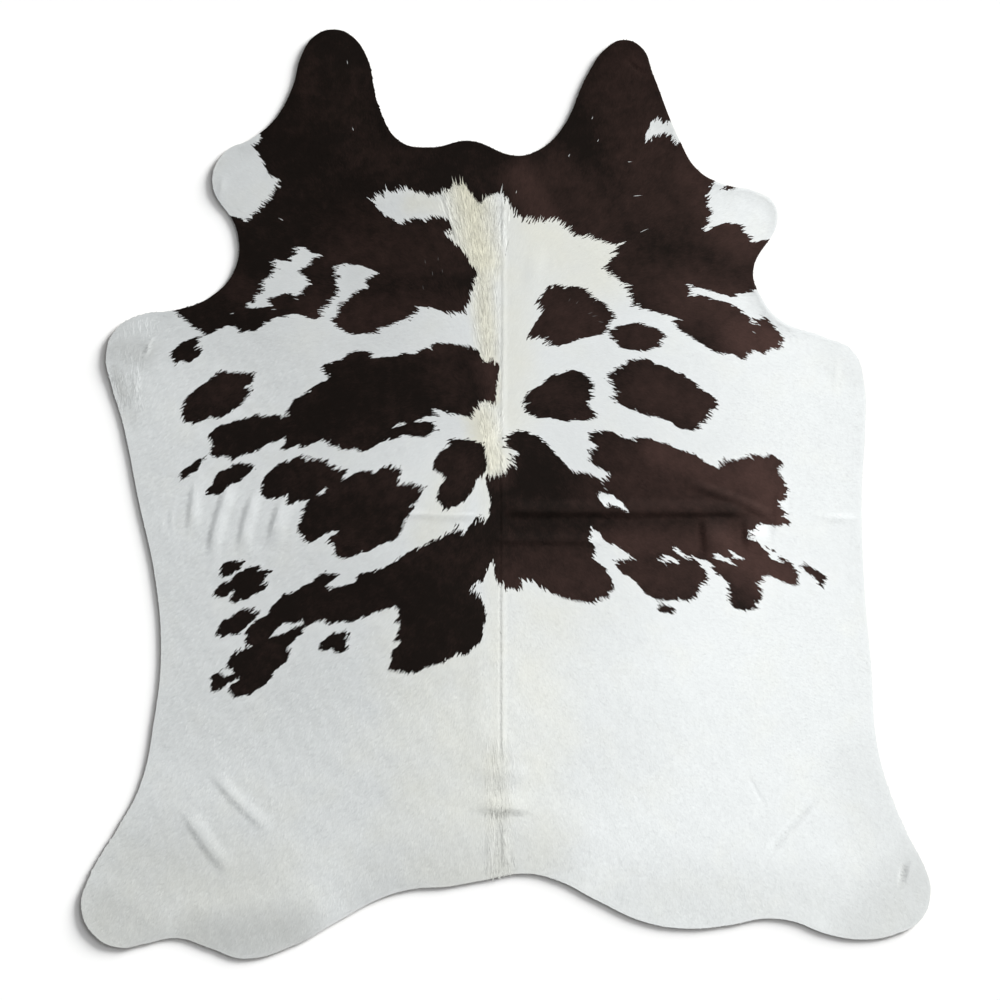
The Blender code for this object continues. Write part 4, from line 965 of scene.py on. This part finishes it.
def coat_colour_group():
    """Hair colour from where the hair grows; wool and hair share it. Spot is 1 for dark hair,
    and Cream, Brown and the greying of dirt and painted shade say how much of each tint it has;
    Tone makes it lighter."""
    group = bpy.data.node_groups.new("coat colour", "ShaderNodeTree")
    for name in ("Spot", "Cream", "Brown", "DirtAndShade", "Tone"):
        group.interface.new_socket(name, in_out="INPUT", socket_type="NodeSocketFloat")
    group.interface.new_socket("Color", in_out="OUTPUT", socket_type="NodeSocketColor")
    given = put(group, "NodeGroupInput").outputs
    place = put(group, "ShaderNodeTexCoord").outputs["Object"]
    cloud = noise(group, place, scale=9.0, detail=3.0, roughness=0.55)
    patches = noise(group, place, scale=42.0, detail=4.0, roughness=0.6)
    fleck = noise(group, place, scale=170.0)
    drift = maths(group, "MULTIPLY_ADD", cloud, 0.5, -0.25)
    cream = maths(group, "ADD", given["Cream"], drift)
    white = blend(group, cream, WHITE_HAIR, CREAM_HAIR)
    # greys the white hair for dirt and for painted shade
    white = blend(group, given["DirtAndShade"], white, DIRT_AND_SHADE_GREY)
    mottle = maths(group, "MULTIPLY_ADD", maths(group, "ADD", cloud, patches), 0.5, -0.5)
    rust = maths(group, "ADD", given["Brown"], mottle)
    rust = maths(group, "MULTIPLY_ADD", given["Tone"], 0.045, rust)
    dark = blend(group, rust, BLACK_HAIR, BROWN_HAIR)
    colour = blend(group, given["Spot"], white, dark)
    level = maths(group, "MULTIPLY_ADD", cloud, 0.06, 0.962)
    level = maths(group, "MULTIPLY_ADD", fleck, 0.016, level)
    level = maths(group, "MULTIPLY_ADD", given["Tone"], 0.02, level)
    scaled = put(group, "ShaderNodeVectorMath", {0: colour, "Scale": level}, operation="SCALE")
    put(group, "NodeGroupOutput", {"Color": scaled.outputs[0]})
    return group


def attribute(tree, name, output="Fac"):
    return put(tree, "ShaderNodeAttribute", attribute_name=name).outputs[output]


def coat_colour(tree, spot, tone):
    """Places the coat colour group in a material."""
    values = {
        "Spot": spot, "Cream": attribute(tree, "cream"), "Brown": attribute(tree, "brown"),
        "DirtAndShade": attribute(tree, "dirt_and_shade"), "Tone": tone,
    }
    return put(tree, "ShaderNodeGroup", values, node_tree=COAT_COLOUR).outputs["Color"]


def spot_share(tree):
    """1 in a dark spot and 0 outside it, from the distance to its edge."""
    values = {
        "Value": attribute(tree, "spot_gap"),
        "From Min": -SPOT_SOFTNESS, "From Max": SPOT_SOFTNESS,
    }
    return put(tree, "ShaderNodeMapRange", values, interpolation_type="SMOOTHSTEP").outputs[0]


def coat_lie(tree):
    """The way the lain coat faces as a whole."""
    return put(
        tree, "ShaderNodeVectorTransform", {0: attribute(tree, "lie", "Vector")},
        vector_type="NORMAL", convert_from="OBJECT", convert_to="WORLD",
    ).outputs[0]


def surface(tree, shader, colour, **relief):
    """Gives a material its colour and its fine relief."""
    tree.links.new(colour, shader.inputs["Base Color"])
    tree.links.new(put(tree, "ShaderNodeBump", relief).outputs[0], shader.inputs["Normal"])


def wool_material():
    material, tree, shader, place = new_material("undercoat wool", roughness=0.65, specular=0.06)
    colour = coat_colour(tree, spot_share(tree), 0.0)
    height = noise(tree, place, scale=700.0)
    lie = coat_lie(tree)
    surface(tree, shader, colour, Height=height, Strength=0.1, Distance=0.0004, Normal=lie)
    return material


def raw_edge_material():
    material, tree, shader, place = new_material("raw leather edge", roughness=0.75, specular=0.25)
    colour = blend(tree, noise(tree, place, scale=260.0, detail=3.0), *RAW_LEATHER)
    height = noise(tree, place, scale=900.0, detail=3.0)
    surface(tree, shader, colour, Height=height, Strength=0.6, Distance=0.0005)
    return material


def suede_material():
    """The flesh side: sanded suede, greyer where the dark hair is rooted above it."""
    material, tree, shader, place = new_material("suede flesh side", roughness=0.9, specular=0.12)
    shader.inputs["Sheen Weight"].default_value = 0.25
    shader.inputs["Sheen Roughness"].default_value = 0.6
    cloud = noise(tree, place, scale=7.0, detail=4.0, roughness=0.6)
    colour = blend(tree, cloud, *SUEDE_CLOUDS)
    nap = noise(tree, place, scale=420.0, detail=4.0, roughness=0.7)
    colour = blend(tree, maths(tree, "MULTIPLY", nap, 0.35), colour, SUEDE_NAP)
    roots = maths(tree, "MULTIPLY", spot_share(tree), 0.30)
    colour = blend(tree, roots, colour, DARK_ROOTS)
    surface(tree, shader, colour, Height=nap, Strength=0.6, Distance=0.0006)
    return material


DARK_LOOPS = [np.array(loop) * 0.01 for loop in DARK_SPOTS.values()]      # from centimetres
WHITE_LOOPS = [np.array(loop) * 0.01 for loop in WHITE_ISLANDS.values()]  # to metres
SPOT_LOOPS = DARK_LOOPS + WHITE_LOOPS
EDGE = edge_line()
COAT_COLOUR = coat_colour_group()

hide = bpy.data.objects.new("hide_skin", hide_mesh())
bpy.context.scene.collection.objects.link(hide)
for finish in (wool_material(), raw_edge_material(), suede_material()):
    hide.data.materials.append(finish)
bpy.ops.object.select_all(action="DESELECT")
hide.select_set(True)
bpy.context.view_layer.objects.active = hide
bpy.ops.object.shade_smooth_by_angle(angle=SMOOTH_ANGLE)
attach(hide, "root")
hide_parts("hide")


# ---------------------------------------------------------------------------------------------
# The coat: short cow's hair, flat on the skin in small pointed locks. It parts at the backbone
# and runs out and back over the body, and out and forward over the neck, from a whorl behind
# the shoulders.
LOCK_SPACING = 0.0043
LOCK_LENGTH = 0.0115
SPOT_LOCK_LENGTH = 0.018  # the locks near a spot's edge
SHORTEST_LOCK = 0.003
LOCK_WIDTH = 0.0060
FULL_WIDTH_LENGTH = 0.008  # shorter locks are narrower, down to this share of the width
NARROWEST_LOCK = 0.3
LOCK_LIFT = 0.00012       # how far a lock's tip stands above the wool
RIDGE_LIFT = 0.00006      # how far a lock's back stays above its own underside
LENGTH_RANGE = (0.75, 1.2)  # how locks differ, as shares
WIDTH_RANGE = (0.8, 1.2)
LIFT_RANGE = (0.92, 1.08)
TONE_SPREAD = 0.6
LOCK_OVERHANG = 0.0004    # how far hair may pass the cut edge
LEAST_LEAVING = 0.05      # hair along the cut edge is trimmed as if it left it this steeply
LOCK_TWIST = math.radians(8)
TUFT_SIZES = (0.16, 0.11, 0.08, 0.055)
TUFT_TWIST = 0.35         # how much tufts turn, for each turn of single locks
# Where along a lock its colour is read: one that breaks over a dark edge, one that leaves it.
BREAK_OVER = (0.35, 1.1)
LEAVE_DARK = (0.70, 0.90)
LOCK_DISORDER = 0.004     # how far single locks tip off the lie of the coat
LOCK_LEAN = 0.144         # how far the coat's surface leans towards the tips of the hair,
LOCK_LEAN_TURN = math.radians(58)  # and how far to the left of them
SLOPE_STEP = 0.0015       # distance over which the slope of the folds is measured
STREAK_SCATTER = 90.0     # size of the pattern of streaks that each lock takes a place in
STREAK_STRETCH = (10.0, 0.9, 1.0)  # streaks in the width and in the length of a lock
# A lock's place in its cell of the bake: the start and the size of the run along it, of the
# strip with its upper faces and of the strip with the ones underneath.
BAKE_ALONG, BAKE_UPPER, BAKE_UNDER = (0.06, 0.88), (0.30, 0.64), (0.06, 0.18)
FLAT_COAT = {             # where the hair lies flatter
    "withers": Tint(0.120, 0.500, 0.120, 0.120, 0.620, 0.95),
    "left_neck": Tint(-0.620, 0.750, -0.420, 0.420, 0.200, 0.32),
}
COAT_ZONES = {            # lowest y of each strip of coat
    "coat_neck": 0.55, "coat_shoulders": 0.20, "coat_back": -0.15, "coat_loin": -0.50,
    "coat_rump": -0.82, "coat_hind_legs": -2.0,
}

# The lay of the coat: at each y, the way the hair points at each x, in degrees from +x
# anticlockwise seen from above.
LAY = (
    (1.05, ((-0.52, 120), (-0.41, 95), (-0.30, 80), (0.0, 90), (0.18, 100), (0.28, 88),
            (0.42, 60))),
    (0.85, ((-0.60, 150), (-0.50, 130), (-0.40, 105), (-0.20, 100), (-0.01, 90), (0.15, 85),
            (0.30, 75), (0.42, 45), (0.50, 30))),
    (0.72, ((-0.70, 165), (-0.55, 150), (-0.40, 125), (-0.20, 115), (-0.12, 108), (-0.06, 100),
            (-0.01, 88), (0.08, 75), (0.20, 55), (0.40, 40), (0.55, 25), (0.64, 15))),
    (0.60, ((-0.66, 175), (-0.40, 165), (-0.20, 150), (-0.12, 112), (-0.06, 101), (-0.01, 88),
            (0.06, 60), (0.15, 35), (0.30, 20), (0.50, 15), (0.60, 10))),
    (0.45, ((-0.90, 200), (-0.70, 190), (-0.40, 180), (-0.20, 160), (-0.10, 115), (-0.05, 97),
            (-0.01, 85), (0.06, 45), (0.15, 15), (0.30, 0), (0.50, -15), (0.65, -15))),
    (0.30, ((-0.92, 215), (-0.70, 210), (-0.40, 200), (-0.20, 180), (-0.10, 140), (-0.05, 105),
            (-0.01, 85), (0.06, 40), (0.15, 5), (0.30, -20), (0.50, -30), (0.85, -35))),
    (0.20, ((-0.92, 220), (-0.50, 213), (-0.25, 200), (-0.12, 160), (-0.06, 110), (-0.01, 80),
            (0.06, 20), (0.15, -10), (0.30, -28), (0.85, -37))),
    (0.134, ((-0.92, 220), (-0.50, 214), (-0.20, 205), (-0.08, 185), (-0.05, 180), (-0.03, 0),
             (0.10, -25), (0.30, -32), (0.85, -38))),
    (0.05, ((-0.90, 218), (-0.50, 214), (-0.20, 222), (-0.10, 240), (-0.04, 265), (-0.01, 275),
            (0.05, -65), (0.15, -48), (0.30, -38), (0.85, -38))),
    (-0.20, ((-0.85, 215), (-0.50, 213), (-0.30, 215), (-0.15, 230), (-0.06, 250), (-0.01, 270),
             (0.04, -70), (0.13, -52), (0.30, -35), (0.50, -30), (0.85, -36))),
    (-0.50, ((-0.85, 222), (-0.50, 225), (-0.30, 235), (-0.15, 245), (-0.06, 258), (-0.01, 270),
             (0.04, -78), (0.13, -65), (0.30, -52), (0.50, -45), (0.85, -42))),
    (-0.80, ((-0.95, 230), (-0.50, 238), (-0.30, 245), (-0.12, 258), (-0.01, 270), (0.10, -78),
             (0.30, -65), (0.50, -58), (0.95, -50))),
    (-1.10, ((-1.00, 235), (-0.60, 245), (-0.20, 255), (0.20, -75), (0.60, -65), (1.00, -55))),
)

# A lock's corners: share of its length, share of its width to the left, share of its lift, and
# its place along the lock in the bake. Its faces point outwards; the ones underneath are last.
# Roundness is how far a lock's sides turn away from the lie of the coat, and lean how far the
# coat's surface leans with it.
LockShape = namedtuple("LockShape", "corners faces underneath roundness lean")
SHORT_LOCK = LockShape(
    corners=((0.0, 0.5, -0.2, 0.0), (0.0, -0.5, -0.2, 0.0), (0.3, 0.0, 0.85, 0.36),
             (1.0, 0.0, 1.0, 1.0)),
    faces=((0, 2, 3), (1, 3, 2), (0, 1, 2), (0, 3, 1)),
    underneath=1,
    roundness=0.015,
    lean=LOCK_LEAN,
)
LONG_LOCK = LockShape(
    corners=((0.0, 0.5, -0.2, 0.0), (0.0, -0.5, -0.2, 0.0), (0.04, 0.0, 0.35, 0.12),
             (0.55, 0.42, 0.75, 0.55), (0.55, -0.42, 0.75, 0.55), (0.55, 0.0, 1.0, 0.55),
             (1.0, 0.0, 0.9, 1.0)),
    faces=((0, 1, 2), (0, 2, 5), (0, 5, 3), (1, 4, 5), (1, 5, 2), (3, 5, 6), (4, 6, 5),
           (0, 3, 4), (0, 4, 1), (3, 6, 4)),
    underneath=3,
    roundness=0.16,
    lean=0.02,
)
# Everything there is to know of some locks; a bend is how far its tip is off to the left.
Locks = namedtuple("Locks", "roots ways lengths widths lifts spots tones bends")


def lay_of(points):
    """The way the hair points at each place, as unit vectors."""
    rows = []
    for _, stops in reversed(LAY):
        x, turn = np.array(stops).T
        turn = np.radians(turn)
        rows.append([np.interp(points[:, 0], x, part) for part in (np.cos(turn), np.sin(turn))])
    rows = np.array(rows)
    heights = [height for height, _ in reversed(LAY)]
    at = np.interp(points[:, 1], heights, range(len(heights)))
    below = np.minimum(at.astype(int), len(heights) - 2)
    share = (at - below)[:, None]
    each = np.arange(len(points))
    way = rows[below, :, each] * (1.0 - share) + rows[below + 1, :, each] * share
    return way / np.maximum(np.hypot(*way.T), 1e-6)[:, None]


def comb(points, random):
    """The lay of the coat with a little disorder, in tufts and lock by lock."""
    way = lay_of(points)
    tufts = sum(
        np.sin(points @ random.normal(0.0, 1.0, 2) * 2 * math.pi / size + random.uniform(0, 7))
        for size in TUFT_SIZES
    )
    turn = LOCK_TWIST * (random.normal(0.0, 1.0, len(points)) + TUFT_TWIST * tufts)
    cos, sin = np.cos(turn), np.sin(turn)
    return np.stack((way[:, 0] * cos - way[:, 1] * sin, way[:, 0] * sin + way[:, 1] * cos), axis=1)


def spot_of_locks(roots, ways, lengths, random):
    """The colour of each lock. Where its root and tip lie in different colours, hair that grows
    out of the white breaks over the dark edge, and hair that leaves the dark ends cleanly."""
    root_dark = dark_at(roots)
    tip_dark = dark_at(roots + ways * lengths[:, None])
    share = np.where(tip_dark, random.uniform(*BREAK_OVER, len(roots)),
                     random.uniform(*LEAVE_DARK, len(roots)))
    reading = dark_at(roots + ways * (lengths * share)[:, None])
    return np.where(root_dark == tip_dark, tip_dark & root_dark, reading)


def coat_normals(points, ways, lean=LOCK_LEAN):
    """The way the coat faces at each place: square to the folds, leaning with the hair."""
    folds = folds_rise(points)
    slope_x = (folds_rise(points + (SLOPE_STEP, 0.0)) - folds) / SLOPE_STEP
    slope_y = (folds_rise(points + (0.0, SLOPE_STEP)) - folds) / SLOPE_STEP
    leaning = math.cos(LOCK_LEAN_TURN) * ways + math.sin(LOCK_LEAN_TURN) * left_of(ways)
    normal = np.stack((-slope_x, -slope_y, np.ones_like(slope_x)), axis=1)
    normal /= np.linalg.norm(normal, axis=1, keepdims=True)
    normal[:, :2] += lean * (1.0 - tint_at(points, FLAT_COAT))[:, None] * leaning
    return normal


def lock_object(name, shape, locks, random, material):
    """Joins these locks into one mesh that lies on the hide."""
    roots, ways, lengths, widths, lifts, spots, tones, bends = locks
    corners = np.array(shape.corners)
    count, each = len(roots), len(corners)
    lefts = left_of(ways)
    along = lengths[:, None] * corners[:, 0]
    across = widths[:, None] * corners[:, 1] + bends[:, None] * corners[:, 0] ** 2
    flat = roots[:, None] + along[..., None] * ways[:, None] + across[..., None] * lefts[:, None]
    gap, outwards = nearest(roots, EDGE, RIM_BAND * 1.5)
    gaps = gap[:, None] - ((flat - roots[:, None]) * outwards[:, None]).sum(-1)
    places, gaps = flat.reshape(-1, 2), gaps.ravel()
    top = top_height(places, gaps).reshape(count, each) + lifts[:, None] * corners[:, 2]
    if shape is SHORT_LOCK:
        ridge = corners[2, 0]
        base = (1.0 - ridge) / 2
        underside = top[:, 0] * base + top[:, 1] * base + top[:, 3] * ridge
        top[:, 2] = np.maximum(top[:, 2], underside + RIDGE_LIFT)
    normal = coat_normals(places, np.repeat(ways, each, axis=0), shape.lean)
    normal = normal.reshape(count, each, 3)
    tilt = random.normal(0.0, LOCK_DISORDER, (count, 1, 2))
    tilt = tilt + shape.roundness * 2.0 * corners[:, 1][None, :, None] * lefts[:, None]
    normal[..., :2] += tilt
    mesh = bpy.data.meshes.new(name)
    triangles = np.array(shape.faces)
    index = (np.arange(count)[:, None, None] * each + triangles).ravel()
    mesh.vertices.add(count * each)
    mesh.vertices.foreach_set("co", np.concatenate((flat, top[..., None]), axis=2).ravel())
    mesh.loops.add(len(index))
    mesh.loops.foreach_set("vertex_index", index.astype(np.int32))
    mesh.polygons.add(len(index) // 3)
    mesh.polygons.foreach_set("loop_start", np.arange(0, len(index), 3, dtype=np.int32))
    mesh.update(calc_edges=True)
    mesh.shade_flat()
    set_attribute(mesh, "lie", normal.reshape(-1, 3))
    set_attribute(mesh, "spot", np.repeat(spots.astype(float), each))
    set_attribute(mesh, "tone", np.repeat(tones, each))
    tint_attributes(mesh, np.repeat(roots + ways * 0.5 * lengths[:, None], each, axis=0))
    strand = np.stack((corners[:, 1] + 0.5, corners[:, 0]), axis=1)[triangles]
    set_layout(mesh, "strands", strand + random.uniform(0.0, STREAK_SCATTER, (count, 1, 1, 2)))
    cells = math.ceil(math.sqrt(count))
    cell = np.stack((np.arange(count) % cells, np.arange(count) // cells), axis=1)
    bake = corners[triangles][..., [3, 1]]
    upper = BAKE_UPPER[0] + BAKE_UPPER[1] * (bake[..., 1] + 0.5)
    under = BAKE_UNDER[0] + BAKE_UNDER[1] * (0.5 - bake[..., 1])
    on_top = np.arange(len(triangles)) < len(triangles) - shape.underneath
    bake[..., 0] = BAKE_ALONG[0] + BAKE_ALONG[1] * bake[..., 0]
    bake[..., 1] = np.where(on_top[:, None], upper, under)
    set_layout(mesh, "OFBake", (cell[:, None, None] + bake) / cells)
    mesh.materials.append(material)
    piece = bpy.data.objects.new(name, mesh)
    bpy.context.scene.collection.objects.link(piece)
    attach(piece, "root")
    return piece


def near_spot_edge(points):
    gaps = [nearest(points, loop, SPOT_REACH)[0] for loop in SPOT_LOOPS]
    return np.min(gaps, axis=0) < SPOT_REACH


def trim_to_edge(roots, ways, lengths):
    """Shortens the locks that would pass the cut edge."""
    gap, outwards = nearest(roots, EDGE, RIM_BAND)
    leaving = np.maximum((ways * outwards).sum(1), LEAST_LEAVING)
    return np.clip(np.minimum(lengths, (gap + LOCK_OVERHANG) / leaving), SHORTEST_LOCK, None)


def hair_material():
    material, tree, shader, _ = new_material("lain hair", roughness=0.65, specular=0.06)
    strands = put(tree, "ShaderNodeUVMap", uv_map="strands").outputs[0]
    stretched = put(
        tree, "ShaderNodeVectorMath", {0: strands, 1: STREAK_STRETCH}, operation="MULTIPLY"
    )
    streak = noise(tree, stretched.outputs[0], scale=1.0, detail=3.0, roughness=0.7)
    tone = maths(tree, "MULTIPLY_ADD", streak, 16.0, attribute(tree, "tone"))
    tone = maths(tree, "SUBTRACT", tone, 8.0)
    colour = coat_colour(tree, attribute(tree, "spot"), tone)
    lie = coat_lie(tree)
    surface(tree, shader, colour, Height=streak, Strength=0.1, Distance=0.0002, Normal=lie)
    return material


HAIR = hair_material()
coat_random = np.random.default_rng(11)
roots = field(LOCK_SPACING, coat_random)
ways = comb(roots, coat_random)
lengths = np.where(near_spot_edge(roots), SPOT_LOCK_LENGTH, LOCK_LENGTH)
lengths = lengths * coat_random.uniform(*LENGTH_RANGE, len(roots))
lengths = trim_to_edge(roots, ways, lengths)
widths = LOCK_WIDTH * coat_random.uniform(*WIDTH_RANGE, len(roots))
widths *= np.clip(lengths / FULL_WIDTH_LENGTH, NARROWEST_LOCK, 1.0)
lifts = LOCK_LIFT * coat_random.uniform(*LIFT_RANGE, len(roots))
spots = spot_of_locks(roots, ways, lengths, coat_random)
tones = coat_random.normal(0.0, TONE_SPREAD, len(roots))
coat = Locks(roots, ways, lengths, widths, lifts, spots, tones, np.zeros(len(roots)))
skin_points = np.array([vertex.co[:2] for vertex in hide.data.vertices])
set_attribute(hide.data, "lie", coat_normals(skin_points, lay_of(skin_points)))
highest = np.inf
for zone, lowest in COAT_ZONES.items():
    chosen = np.flatnonzero((roots[:, 1] >= lowest) & (roots[:, 1] < highest))
    highest = lowest
    picked = Locks(*(part[chosen] for part in coat))
    lock_object(zone, SHORT_LOCK, picked, coat_random, HAIR)


# ---------------------------------------------------------------------------------------------
# The long hair: coarse strands on the nape, along the withers, round the whorl and down the
# tail. They lie on the short coat, bend a little and end in loose points, some of them over the
# dark beside them.
STRAND_SPACING = 0.0034
STRAND_WIDTH = 0.0024
STRAND_LIFT = 0.0008      # how far a strand's tip stands above the wool where hair is thick
STRAND_TWIST = math.radians(6)
STRAND_BEND = 0.0030      # how far a strand's tip strays to one side
STRAND_OVER_DARK = 0.012  # how far a white strand may lie over a dark spot
STRAND_TRIMS = 6          # times that a strand over the dark is cut, to this share of itself
STRAND_TRIM = 0.75
SHORTEST_STRAND = 0.008
STRAND_LENGTHS = (0.5, 1.0)  # how strands differ, as shares
STRAND_WIDTHS = (0.6, 1.3)
STRAND_LIFTS = (0.7, 1.4)
STRAND_TONES = (-20.0, 14.0)
# Where long hair grows: a line, how far from it hair reaches and how thickly it grows, the way
# it points (in degrees from +x anticlockwise) and how much that fans out from left to right, the
# longest strand, how much lighter the hair is, and how unevenly.
Patch = namedtuple("Patch", "x0 y0 x1 y1 reach share turn fan length lightness unevenness")
LONG_HAIR_PLACES = (
    Patch(-0.085, 0.725, -0.065, 0.590, 0.080, 1.60, 101, -10, 0.056, 2.5, 8.0),
    Patch(-0.020, 0.710, -0.020, 0.600, 0.030, 1.00, 90, -4, 0.045, 4.0, 5.0),
    Patch(-0.050, 0.590, -0.040, 0.230, 0.040, 0.90, 95, -6, 0.045, 3.0, 4.5),
    Patch(-0.033, 0.175, -0.038, 0.148, 0.030, 1.30, 93, -14, 0.034, 11.0, 4.0),
    Patch(-0.036, 0.132, -0.024, 0.078, 0.026, 1.30, 272, 12, 0.040, 11.0, 5.0),
    Patch(-0.018, -0.600, -0.016, -0.925, 0.046, 0.36, 270, 4, 0.045, 3.0, 2.4),
    # The last four are darker strands on the left shoulder: painted shade of its undulations.
    Patch(-0.930, 0.295, -0.912, 0.235, 0.026, 0.60, 266, 0, 0.026, -8.0, 4.0),
    Patch(-0.925, 0.345, -0.880, 0.335, 0.030, 0.24, 262, 0, 0.026, -7.0, 3.0),
    Patch(-0.890, 0.300, -0.878, 0.225, 0.020, 0.40, 262, 0, 0.028, -2.0, 3.0),
    Patch(-0.920, 0.400, -0.860, 0.410, 0.030, 0.14, 268, 0, 0.026, -5.0, 2.5),
)
# Single light hairs in the dark spots: where each starts and the way it points, in degrees from
# +x anticlockwise, its length, in metres, and how dark it is.
Fleck = namedtuple("Fleck", "x y turn length darkness", defaults=(0.35,))
FLECKS = (
    Fleck(-0.1240, 0.738, 104, 0.026, 0.04), Fleck(-0.1180, 0.740, 100, 0.022, 0.06),
    Fleck(-0.1080, 0.742, 98, 0.024, 0.04), Fleck(-0.1030, 0.738, 94, 0.026, 0.06),
    Fleck(-0.0840, 0.705, 84, 0.018, 0.08), Fleck(-0.0470, 0.706, 98, 0.016, 0.08),
    Fleck(-0.193, 0.552, 100, 0.012, 0.92), Fleck(-0.176, 0.524, 95, 0.012, 0.92),
    Fleck(-0.152, 0.531, 100, 0.010, 0.93), Fleck(-0.198, 0.490, 100, 0.012, 0.93),
    Fleck(-0.163, 0.560, 90, 0.010, 0.93), Fleck(0.196, 0.432, 20, 0.014, 0.90),
    Fleck(0.206, 0.426, 10, 0.014, 0.90), Fleck(0.222, 0.414, 350, 0.014, 0.90),
    Fleck(0.150, 0.462, 60, 0.010, 0.92), Fleck(0.168, 0.456, 50, 0.010, 0.92),
    Fleck(-0.0500, 0.1470, 278, 0.018, 0.60), Fleck(-0.0445, 0.1370, 264, 0.020, 0.45),
    Fleck(-0.0190, 0.1200, 270, 0.050, 0.12), Fleck(-0.0120, 0.1130, 268, 0.050, 0.14),
    Fleck(-0.0170, 0.708, 76, 0.040, 0.08), Fleck(-0.0150, 0.706, 78, 0.036, 0.12),
    Fleck(-0.1000, 0.735, 100, 0.018, 0.10), Fleck(-0.0780, 0.705, 98, 0.022, 0.10),
    Fleck(-0.0560, 0.705, 92, 0.016, 0.10), Fleck(-0.1250, 0.728, 108, 0.018, 0.10),
    Fleck(-0.380, 1.032, 100, 0.009), Fleck(-0.366, 0.872, 110, 0.009),
    Fleck(-0.534, 0.656, 150, 0.014), Fleck(-0.497, 0.466, 165, 0.014),
    Fleck(-0.551, 0.443, 180, 0.014), Fleck(-0.652, 0.434, 190, 0.012),
    Fleck(0.305, 0.715, 5, 0.022), Fleck(0.322, 0.628, 25, 0.022),
    Fleck(0.590, 0.391, -30, 0.012), Fleck(0.226, 0.029, -40, 0.014),
    Fleck(0.234, 0.016, -38, 0.014), Fleck(0.024, 0.721, 80, 0.008),
    Fleck(0.292, 0.797, 5, 0.010), Fleck(0.206, 0.899, 70, 0.008),
    Fleck(0.219, 0.845, 60, 0.008), Fleck(0.150, 0.810, 60, 0.008),
)
FLECK_WIDTH = 0.0017
FLECK_LIFT = LOCK_LIFT * 3


def unit(turns):
    """Ways as unit vectors, from turns."""
    return np.stack((np.cos(turns), np.sin(turns)), axis=1)


long_random = np.random.default_rng(23)
grown = []
for patch in LONG_HAIR_PLACES:
    roots = field(STRAND_SPACING, long_random)
    share = tint_at(roots, {"patch": Tint(*patch[:6])})
    grows = (long_random.uniform(0.0, 1.0, len(roots)) < share) & ~dark_at(roots)
    roots, share = roots[grows], np.minimum(share[grows], 1.0)
    turns = patch.fan * (roots[:, 0] - (patch.x0 + patch.x1) / 2) / patch.reach
    turns = np.radians(patch.turn + turns)
    turns += STRAND_TWIST * long_random.normal(0.0, 1.0, len(roots))
    ways = unit(turns)
    lengths = patch.length * long_random.uniform(*STRAND_LENGTHS, len(roots))
    over = STRAND_OVER_DARK * long_random.uniform(0.0, 1.0, len(roots))
    for _ in range(STRAND_TRIMS):
        over_dark = dark_at(roots + ways * (lengths - over)[:, None])
        over_dark |= dark_at(roots + ways * (lengths * 0.5)[:, None])
        lengths = np.where(over_dark, lengths * STRAND_TRIM, lengths)
    lengths = np.maximum(trim_to_edge(roots, ways, lengths), SHORTEST_STRAND)
    tones = patch.lightness + patch.unevenness * long_random.normal(0.0, 1.0, len(roots))
    grown.append((roots, ways, lengths, np.clip(tones, *STRAND_TONES), STRAND_LIFT * share))
roots, ways, lengths, tones, lifts = (np.concatenate(part) for part in zip(*grown))
fleck_x, fleck_y, fleck_turn, fleck_length, fleck_darkness = np.array(FLECKS).T
strands, flecks = len(roots), len(FLECKS)
long_hair = Locks(
    roots=np.concatenate((roots, np.stack((fleck_x, fleck_y), axis=1))),
    ways=np.concatenate((ways, unit(np.radians(fleck_turn)))),
    lengths=np.concatenate((lengths, fleck_length)),
    widths=np.append(STRAND_WIDTH * long_random.uniform(*STRAND_WIDTHS, strands),
                     np.full(flecks, FLECK_WIDTH)),
    lifts=np.append(lifts * long_random.uniform(*STRAND_LIFTS, strands) + LOCK_LIFT,
                    np.full(flecks, FLECK_LIFT)),
    spots=np.append(np.zeros(strands), fleck_darkness),
    tones=np.append(tones, np.zeros(flecks)),
    bends=np.append(long_random.normal(0.0, STRAND_BEND, strands), np.zeros(flecks)),
)
lock_object("long_hair", LONG_LOCK, long_hair, long_random, HAIR)
